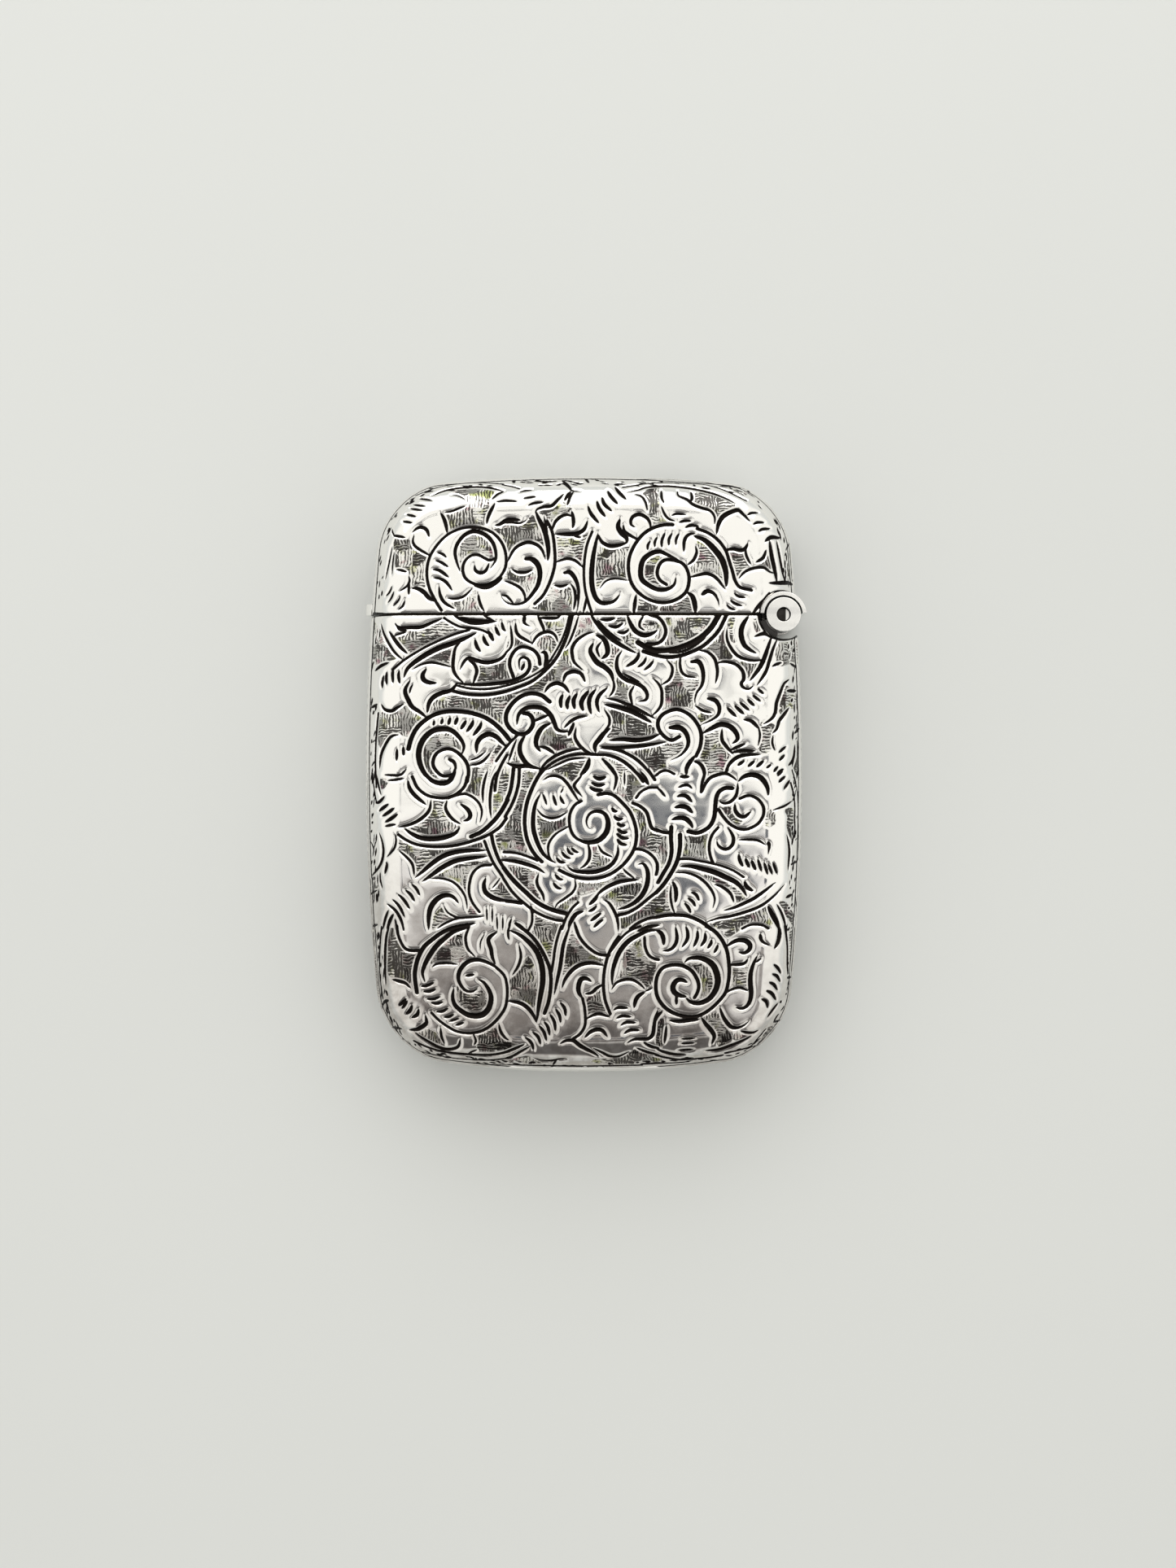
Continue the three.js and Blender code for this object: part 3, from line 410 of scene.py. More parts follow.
BODY_UPPER_RIGHT = """
line .3 7.4 2.9  6.8 2.62  6.2 2.95  5.8 3.5  5.75 4.1  6.1 4.6  6.8 4.95  7.5 4.95  8.3 4.5
    8.9 3.7  9.1 2.9  9 2.1  8.7 1.4
comma .5 6.7 3.6  7.4 3.6  7.9 3.2  8.1 2.5  7.9 1.9  7.4 1.4  6.7 1.05
line .3 11.05 12.3  10.5 11.2  9.9 10.5  9.2 9.9  8.3 9.45  7.4 9.15  6.4 9.05  5.4 9.25  4.6 9.5
line .44 10.45 12.3  9.9 11.4  9.2 10.7  8.4 10.2  7.4 9.8  6.5 9.6  5.6 9.58  4.9 9.8  4.2 10.2
cut .2 6.5 9.35  7.6 9.5  8.6 9.95  9.5 10.6
cut .24 6.4 8.85  6.8 8.4  6.85 7.9  6.6 7.3  6 6.9
cut .24 7.5 9.25  7.45 8.5  7.6 7.9  8 7.6  8.75 7.48
comma .44 8.35 8.7  8.9 8.7  9.2 8.1  9.25 7.4  9.1 6.8  8.75 6.3  8.6 5.7  8.75 5.2
cut .24 8.6 5.3  9.3 4.9  9.95 4.75
cut .28 8.9 9.6  9.6 9.45  10.1 9  10.3 8.4  10.35 7.8  10.2 7
cut .3 10.25 8.6  11 8.7  11.8 8.5  12.3 8  12.4 7.4  12.2 7  12.4 6.7  12.8 6.6  13.15 6.85
comma .42 9.65 5.85  10.2 5.7  10.5 5.2  10.4 4.6  9.9 4.2  8.95 3.75
cut .28 11.1 11.3  11.1 10.5  11.4 9.8  11.9 9.2  12.6 8.9  13.3 8.8  14 8.9
cut .42 12.8 12.3  12.3 11.5  12.2 10.8  12.4 10.1  12.8 9.7  13.4 9.35
cut .36 14.65 10.7  14.3 9.8  14 9  13.6 8.2  12.85 7.2
cut .3 15.1 10.5  14.7 9.6  14.4 8.7  14.1 7.9  13.4 6.85
cut .26 13.45 6.65  13.95 6.2
cut .26 13.05 6.15  13.75 5.6
cut .28 12.65 5.85  13.25 5.25
cut .28 12.05 5.6  12.85 4.9
cut .3 11.65 5.35  12.45 4.6
cut .3 11.05 5.2  11.85 4.4
cut .32 12.35 4.25  13 4.1  13.6 3.5
cut .18 13.5 3.8  13.65 3  13.5 2.2
cut .32 16 7.35  15.6 7  15.3 6.3  15 5.5  14.9 4.8  14.6 4.3  13.9 3.85
cut .3 16 5.15  15.5 4.5  15.2 4.1  15 3.5  14.65 3.15
cut .2 14.7 3  14.65 2.4  14.85 1.8
cut .3 15.8 6.45  16.5 6.45
cut .24 14.65 8.35  15.1 8.55  15.45 8.65
cut .26 16.05 8.6  16.55 8.25
cut .44 13.2 10.65  14 10.9  14.7 10.7  15.5 10.6  16.2 10.8  16.8 10.5
cut .26 15.15 1.65  15.75 2.15
cut .28 15.2 1.05  15.65 1.5
cut .32 16.4 2.3  16.35 1.5  16.2 1  15.9 .65
cut .26 16.35 3.15  16.75 3.55
cut .28 11.9 .65  12.45 1.05
cut .28 12.7 .55  13.25 1.05
cut .3 13.35 .5  13.95 1.05
cut .24 14.15 .45  14.55 .75
cut .26 14.75 .15  15.1 .6
cut .28 15 0  15.55 .4
cut .32 10.9 0  11.3 .8  11.9 1.3  12.7 1.5  13.7 1.5
cut .32 11.45 1.65  12.2 1.8  13.3 1.8
cut .3 10.7 3.5  10.7 2.7  11 2.2  11.6 1.5
cut .44 9.2 3.15  10 3.6  10.6 3.85  11.3 3.7  11.8 3.2  11.9 2.7  11.5 2.35
cut .28 11.35 1.85  11.9 2.1  12.55 2.38
cut .36 8.65 1.45  8.2 .9  7.95 .4  7.95 -.1
cut .32 8.5 1  9 .8  9.3 .3  9.35 -.3
ground 6.5 12.3  8.2 12.2  9.8 12.3  9.5 11.4  8.8 10.7  7.8 10.2  6.6 9.9  6.2 10.2  6.5 11
    6.4 11.8
ground 10 10.5  10.95 11.3  11 10.3  11.5 9.5  11.5 9  11.1 8.85  10.4 8.75  10.1 9.3  9.5 9.7
ground 13.2 12.1  14.3 12.1  14.6 11.4  14.5 10.9  13.5 10.9  13.2 11.4
ground 6.85 8.6  7.4 9  7.35 8  7.8 7.6  8.8 7.3  8.9 6.8  8.5 6.2  8.45 5.4  8.6 5  8 5.2  7 5.15
    6.2 4.85  5.9 4.95  6.15 5.8  6.15 6.6  6.6 7.1  6.95 7.8
ground 9.25 2.9  10.2 3.55  10.6 2.8  11 2  11.4 1.5  11 .9  10.6 .1  9.55 .1  9.4 .6  9 1.1  9.15 2
ground 9.2 4.85  10.1 4.65  9.6 4.15  9 4  8.85 4.5
ground 13.7 4  14.4 4  14.9 3.7  14.6 2.9  14.6 2  14 1.6  13.5 2  13.7 3
ground 15.15 10.4  16.5 10.4  16.6 8.6  15.9 8.5  15.2 8.4  14.9 9.3
ground 15.7 6.9  16.5 6.2  16.6 5  16 5.1  15.4 4.6  15.05 5.2  15.3 6.2
ground 16.5 3  16.7 1.5  16.6 0  16.25 .4  16.5 1.3
ground 11.2 12.1  11.75 12.1  11.5 11.2  11.75 10.2  11.35 10.4  11.15 11.2
ground 12.3 7.2  12.7 7.2  13.7 8.3  13.9 8.7  13.1 8.75  12.3 8.9  12.1 8.5  12.5 7.9
"""

BODY_MIDDLE_LEFT = """
line .18 -16.4 0  -16.35 -.8  -16.25 -1.6  -16.15 -2.15
cut .28 -16.2 -2.25  -15.9 -2.15  -15.5 -1.72
cut .2 -16.15 0  -16.05 -.5  -15.92 -1.15  -15.78 -1.62
cut .22 -15.3 -.5  -14.6 -.45  -13.9 -.33
cut .34 -13.65 -.45  -13.5 -1.1  -13.05 -1.7  -12.2 -2.4
line .26 -13.3 -.2  -12.9 -1.05  -12.2 -1.62  -11.4 -1.83  -10.6 -1.83  -9.8 -1.5  -9.25 -.95
    -9.05 -.25
cut .42 -12.3 -.1  -11.7 -.55  -11 -.72  -10.45 -.55  -10.1 -.05  -9.95 .5
cut .22 -10.6 -2  -9.9 -1.68  -9.2 -1.55  -8.6 -1.8  -8.1 -2.3  -7.9 -2.95  -8.05 -3.75
cut .28 -10.6 -2.05  -10.72 -2.6  -10.5 -3.1  -10.1 -3.55  -9.5 -3.9
cut .34 -9.6 -2.3  -9.05 -2.7  -8.8 -3.15  -8.95 -3.5  -9.35 -3.65
cut .3 -11.85 -2  -11.95 -2.7  -12.3 -3.2  -12.9 -3.65  -13.6 -3.95  -14.4 -4.12
cut .44 -13.95 -4.2  -13.3 -4.65  -12.6 -4.95  -11.7 -5.02  -10.8 -4.9  -10 -4.6  -9.6 -4.1
line .26 -14.4 -4.7  -13.8 -5.1  -13 -5.45  -12 -5.62  -10.8 -5.63  -9.8 -5.5  -9 -5.3  -8 -4.98
    -7.2 -4.6  -6.5 -4.1  -6 -3.43
line .34 -8.75 -4.85  -7.9 -4.45  -7.1 -3.75  -6.45 -2.95  -5.9 -2
cut .22 -7.45 .3  -7.7 -.5  -7.83 -1.3  -7.82 -2.25
cut .24 -6.7 .3  -7.02 -.3  -7.2 -1.2  -7.28 -2.2  -7.2 -3.4
cut .3 -15.2 -2.32  -15.6 -2.6  -15.95 -2.88
cut .3 -14.72 -2.62  -15.1 -2.9  -15.7 -3.28
cut .3 -14.45 -3.1  -14.9 -3.4  -15.5 -3.75
cut .24 -14.6 -3.9  -15 -3.95  -15.5 -4.05
cut .26 -15.95 -4.5  -15.72 -5.2  -15.62 -5.9  -15.7 -6.6  -15.95 -7.2  -16.5 -7.92
cut .2 -14.73 -4.55  -14.6 -5.1  -14.75 -5.75  -15.35 -6.45
cut .2 -16.55 -5.25  -16.35 -5.8  -16.42 -6.4
cut .28 -15.4 -6.8  -15.35 -7.1  -15.52 -7.75
cut .2 -15.87 -7.6  -15.87 -8.2  -15.7 -8.9
cut .24 -14.4 -5.9  -13.8 -6.4  -13.3 -7  -13.15 -7.9
cut .4 -13.1 -8.05  -12.5 -7.55  -11.8 -6.95  -11 -6.4  -10.1 -6.08  -9 -5.93  -7.55 -5.92
cut .4 -12.55 -8.35  -11.9 -7.9  -11 -7.25  -10 -6.75  -9 -6.55  -7.5 -6.38
cut .22 -11.9 -8.1  -11.1 -8.1  -10.3 -8.3  -9.7 -8.75  -9.25 -9.4  -9.1 -9.95  -9.05 -10.45
cut .42 -12.05 -12.1  -12.05 -11.2  -11.9 -10.4  -11.5 -9.8  -10.95 -9.45  -10.4 -9.42  -10 -9.65
    -9.7 -10.05
cut .22 -10.9 -10.15  -10.6 -10.7  -10.15 -11  -9.7 -11.15  -9 -11.12  -7.75 -11.05
line .22 -7.2 -7.05  -8 -7.15  -8.6 -7.65  -8.85 -8.4  -8.9 -9.2  -8.65 -9.95  -8.1 -10.7
cut .4 -7.6 -8.05  -7.75 -8.55  -7.65 -9.1  -7.2 -9.5  -6.6 -9.72  -5.8 -9.85
cut .14 -6.5 -8.1  -6.8 -8.5  -7.1 -8.85
line .24 -7.7 -5.2  -7.4 -6  -7 -6.9  -6.4 -7.8  -6.2 -8.15
line .28 -7.15 -4.75  -7 -5.5  -6.65 -6.5  -6.2 -7.3
cut .16 -7.55 -10.35  -7.5 -11.4
cut .16 -7.1 -10.35  -7.1 -11.5
cut .16 -6.75 -11  -6.7 -12.1
cut .16 -6.28 -11.05  -6.3 -12.1
cut .2 -11.4 -12  -10.8 -11.6  -10.1 -11.3  -9.5 -11.2
cut .3 -10.6 -12.1  -9.9 -11.85  -9 -11.68  -8.4 -11.55
cut .26 -13.38 -8.52  -13 -8.9  -12.72 -9.45
cut .28 -13.85 -9  -13.45 -9.35  -13.13 -9.9
cut .28 -14.5 -9.3  -13.95 -9.8  -13.5 -10.5
cut .28 -14.95 -9.7  -14.35 -10.3  -13.9 -11.15
cut .3 -15.4 -10.05  -14.7 -10.6  -14.25 -11.3  -14 -12.1
cut .26 -15.25 -10.55  -15.5 -11.2  -15.72 -12.1
cut .3 -14.85 -10.85  -15.15 -11.4  -15.4 -12.1
cut .2 -14.72 -11.2  -14.6 -12.2
cut .22 -16.5 -11.82  -16.05 -11.68
cut .2 -16.8 -9.4  -16.1 -9
line .14 -16.8 0  -16.85 -3  -16.85 -6  -16.85 -9  -16.85 -12
ground -11.75 -2.1  -10.75 -2.1  -10.8 -2.8  -10.4 -3.5  -9.75 -4.05  -10.4 -4.4  -11.4 -4.75
    -12.5 -4.6  -13.5 -4.25  -12.5 -3.7  -11.95 -3
ground -8.85 0  -7.7 0  -7.95 -1  -8 -2  -8.5 -1.7  -9.1 -1.45  -9.6 -1.45  -9.1 -.9  -8.9 -.3
ground -6.6 .2  -6 .6  -5.75 -1  -6.4 -2.5  -7 -3.3  -7.1 -2  -6.95 -.8
ground -14.3 -5.1  -13.5 -5.5  -12.6 -5.75  -11.4 -5.8  -10 -5.75  -9 -5.6  -8 -5.3  -7.9 -5.8
    -9 -5.85  -10.2 -5.95  -11.2 -6.3  -12 -6.9  -12.9 -7.6  -13.1 -7.1  -13.6 -6.4  -14.3 -5.75
ground -11.5 -8  -10.6 -7.35  -9.6 -6.95  -8.6 -6.75  -7.5 -6.85  -8.2 -7  -8.8 -7.6  -9.05 -8.4
    -9.1 -9.2  -9.7 -8.5  -10.5 -8.1
ground -11.6 -10.9  -11.05 -10.35  -10.8 -10.75  -10.3 -11.1  -9.8 -11.3  -10.6 -11.5  -11.3 -12
    -11.8 -12.1  -11.75 -11.5
ground -9 -10.8  -8.9 -10.3  -8.6 -10.2  -8.2 -10.8  -8.6 -10.95
ground -7.4 -8.9  -6.5 -8.3  -6 -9.1  -6 -9.55  -6.7 -9.5  -7.3 -9.2
ground -15.8 -.3  -15.2 -.5  -15.5 -1.1  -15.8 -1.1
ground -16.7 -8.2  -16.1 -8  -16 -9  -16.7 -9.3
ground -6.95 -4.8  -6.2 -4.5  -5.9 -5.5  -6 -6.4  -6.5 -6.4  -6.8 -5.6
"""

BODY_MIDDLE = """
line .3 -5.45 .4  -5.55 -.5  -5.7 -1.3  -5.97 -2
line .26 -5 .4  -5.05 -.6  -5.25 -1.5  -5.6 -2.4  -6.1 -3.3
line .3 -3.15 .4  -3.6 -.3  -4.05 -1.2  -4.4 -2.2  -4.57 -3.2  -4.57 -4.1  -4.4 -5.05  -4.05 -5.85
    -3.65 -6.4  -3.25 -6.8
cut .36 -3.35 -1.5  -3.75 -2.3  -3.92 -3.3  -3.9 -4.3  -3.6 -5.3  -3.2 -6.1  -2.7 -6.6  -2.15 -6.9
cut .26 -3.2 -.5  -2.7 -.2  -2.2 -.15  -1.65 -.35  -1.2 -.85  -.85 -1.4  -.45 -2  -.2 -2.1
cut .2 -3.2 -1.5  -3 -2  -2.88 -2.4
cut .24 -2.4 -1.6  -2.25 -2.1  -2.1 -2.5
cut .24 -1.85 -1.7  -1.7 -2.05  -1.5 -2.35
cut .14 -1.6 -1.1  -1.8 -1.5
cut .22 -3.65 -2.7  -3.2 -3.2  -2.55 -3.42  -1.9 -3.3  -1.3 -2.95
line .24 -.2 -2.1  -.7 -2.4  -1.05 -3  -1.13 -3.75  -.95 -4.5  -.55 -5  0 -5.25
cut .44 -.55 -5  0 -5.25  .6 -5.28  1.2 -5.1  1.65 -4.65  1.85 -4.2  1.87 -3.65  1.7 -3.2  1.4 -2.95
    1 -2.88
comma .36 1.7 -3.2  1.4 -2.95  1 -2.88  .6 -2.98  .3 -3.3  .2 -3.75  .35 -4.15  .65 -4.3
line .28 1.1 -1.6  1.8 -1.5  2.4 -1.7  3 -2.25  3.55 -2.9  3.9 -3.7  4.07 -4.5  4.03 -5.3  3.8 -6
    3.3 -6.75  2.8 -7.25  2.15 -7.7  1.4 -8  .6 -8.12  -.1 -8.1  -.8 -7.95  -1.4 -7.7  -1.9 -7.45
cut .28 2.15 -2.6  2.35 -2.85  2.6 -2.9
cut .3 2.3 -3.25  2.65 -3.5  3.05 -3.45
cut .3 2.55 -3.8  2.9 -4  3.2 -3.95
cut .3 2.55 -4.25  3 -4.52  3.4 -4.5
cut .3 2.5 -4.6  3 -4.95  3.5 -4.98
cut .3 2.55 -5.05  2.9 -5.4  3.35 -5.5
cut .34 .7 -.15  1.2 -.37  1.75 -.2
cut .3 .55 -.65  1.1 -.87  1.65 -.8
cut .3 .4 -1  .9 -1.25  1.5 -1.25
cut .24 2.15 .5  2.45 0  2.5 -.6  2.3 -1.3
cut .24 -.1 0  -.45 -.45  -.75 -.85  -.6 -1.2  -.1 -1.8
cut .16 3.15 .2  3.15 -.9
line .2 3.8 .4  4.4 -.15  4.95 -.75
cut .2 4.3 .3  4.8 -.3  5.05 -.85
line .26 5 .3  5.5 -.45
line .22 4.05 -1.85  4.4 -1.4  5 -1.08  5.7 -1.05
line .28 3.8 -2.25  4.35 -2.5  4.85 -2.95  5.05 -3.55  5.25 -4.15  5.7 -4.4
cut .2 -1 -3.95  -1.5 -4.25  -2.05 -4.55  -2.5 -5  -2.75 -5.5  -2.75 -6.1  -2.6 -6.55  -2.25 -6.9
cut .24 -1.3 -5.7  -1.1 -6.1  -.8 -6.25
cut .26 -1.75 -6  -1.4 -6.4  -1 -6.55
cut .26 -2.15 -6.45  -1.85 -6.8  -1.4 -6.85
cut .24 -1 -5.7  -.7 -5.97  -.4 -6.1
cut .26 .3 -5.35  .45 -6  .4 -6.6  .1 -7.05  -.3 -7.32
cut .36 -1.3 -7.15  -.8 -7.5  0 -7.6  .8 -7.58  1.6 -7.35  2.15 -7  2.5 -6.5  2.65 -6  2.62 -5.5
cut .22 1.1 -5.5  1.4 -6  1.8 -6.25  2.25 -6.45
line .22 -6.2 -6.05  -5.4 -6.1  -4.6 -6.3  -3.6 -6.7
cut .34 -6.5 -6.65  -5.4 -6.75  -4.4 -7  -3.6 -7.3  -3 -7.7
line .36 -6.2 -7.3  -5.7 -7.95  -5.1 -8.6  -4.45 -9.2  -3.75 -9.85  -3 -10.3  -2.2 -10.6  -1.4 -10.8
line .24 -6.2 -8.15  -5.65 -9  -5.1 -9.6  -4.45 -10.15  -3.8 -10.65  -3 -11.05  -2.2 -11.3
    -1.6 -11.38
line .3 -6 -9.85  -5.5 -9.9  -4.85 -10
line .2 -4.1 -10.3  -4 -11  -4.05 -11.6  -4.3 -12.1
cut .26 -3.5 -7.7  -3.65 -8.3  -3.5 -8.8  -3.2 -9.3  -3.05 -9.9
cut .26 -2.25 -7.75  -1.95 -8.1  -1.6 -8.2
cut .26 -2.4 -8.4  -2.05 -8.8  -1.7 -8.9
cut .22 -.7 -8.1  -.65 -8.7  -.9 -9.2  -1.5 -9.65  -2.05 -10.05  -2.25 -10.4
cut .2 3 -7.3  3.4 -7.7  3.95 -8.1
cut .34 .9 -9.5  1.5 -8.95  2.2 -8.55  3 -8.3  4.3 -8.17
cut .32 .4 -10.15  .85 -9.7  1.1 -9.3
line .24 3.95 -5.8  4.6 -5.9  5.15 -6.2  5.55 -6.65  5.7 -7.2  5.6 -7.8
cut .4 4.2 -7  4.6 -6.95  4.9 -7.4  4.97 -8  4.85 -8.7  4.5 -9.4  3.95 -9.95  3.3 -10.3  2.6 -10.5
line .28 2.7 -10.93  3.4 -10.75  4.2 -10.3  5 -9.65  5.7 -9.1
line .22 -.45 -9.95  -.95 -10.45  -1.4 -11.2  -1.7 -12
cut .36 0 -10.6  -.6 -10.85  -1 -11.4  -1.2 -12
cut .2 -.75 -11.4  -.6 -12.1
cut .26 1.45 -9.7  1.9 -9.95  2.2 -10.35  2.5 -10.95  2.65 -11.6  2.67 -12.2
cut .26 .35 -10.65  .7 -10.5  1 -10.2
cut .3 .5 -11.4  .85 -11.15  1.35 -10.75
cut .28 .75 -11.9  1.1 -11.55  1.5 -11.25
cut .2 -5.8 -12.1  -5.75 -11.6  -5.6 -11.2
cut .34 -5.4 -11.5  -4.9 -11.85  -4.5 -12.2
line .26 3.6 -12  4.2 -11.55  5 -11.2  5.7 -11.1
cut .3 4.1 -12.2  5 -11.85  5.9 -11.7
ground -4.75 .1  -3.75 .1  -4.15 -1  -4.55 -2.2  -4.75 -3.4  -4.7 -4.6  -4.4 -5.5  -4 -6.2  -5 -6.05
    -6 -5.9  -6.15 -4.5  -6.1 -3.7  -5.5 -2.9  -5.1 -1.8  -4.9 -.6
ground -3.7 -3  -3.1 -3.5  -2.4 -3.65  -1.7 -3.5  -1.25 -3.3  -1.3 -4  -1.9 -4.4  -2.5 -4.8
    -2.9 -5.4  -3.2 -5.4  -3.6 -4.7  -3.75 -3.8
ground 2.7 .3  3.6 .3  4.4 -.3  4.9 -.85  4.3 -1.25  3.9 -1.8  3.5 -2.2  2.9 -1.7  2.5 -1.4  2.7 -.6
ground 3.45 -2.4  4.1 -2.6  4.65 -3.1  4.9 -3.8  5.2 -4.5  5.9 -4.75  6.3 -5.5  5.6 -6.1  4.9 -5.85
    4.1 -5.65  4.25 -4.6  4.05 -3.5
ground .65 -5.6  1.05 -5.45  1.5 -6.15  2.2 -6.5  2.1 -6.85  1.3 -7.25  .5 -7.4  0 -7.35  .5 -6.9
    .65 -6.2
ground -2.8 .3  -2.2 .5  -1 .2  -.3 -.1  -.8 -.65  -1.05 -.7  -1.6 -.1  -2.2 .1
ground -5.75 -7.2  -4.8 -7.25  -3.75 -7.6  -3.85 -8.4  -3.6 -9.1  -3.3 -9.9  -4.1 -9.3  -4.9 -8.5
    -5.5 -7.8
ground -.5 -8.4  .6 -8.45  1.8 -8.2  2.9 -7.6  3.3 -7.95  2.6 -8.2  1.6 -8.7  .9 -9.05  0 -9.35
    -.55 -9.3
ground 1.6 -9.55  2.3 -8.95  3.3 -8.6  4.4 -8.4  4.5 -8.8  4.1 -9.5  3.4 -10.05  2.6 -10.3  2.1 -9.8
ground -1.9 -10.15  -1.1 -9.6  -.3 -9.5  -.7 -10  -1.2 -10.6  -1.6 -10.65  -2.1 -10.4
ground -3.85 -10.9  -3 -11.3  -1.75 -11.6  -1.95 -12.2  -3.8 -12.3
ground 2.8 -11.1  3.9 -10.7  5 -9.9  5.8 -9.4  5.8 -10.9  4.9 -11  3.9 -11.55  2.95 -12
ground -6.2 -8.4  -5.8 -9.1  -5.3 -9.65  -6.2 -9.6
"""

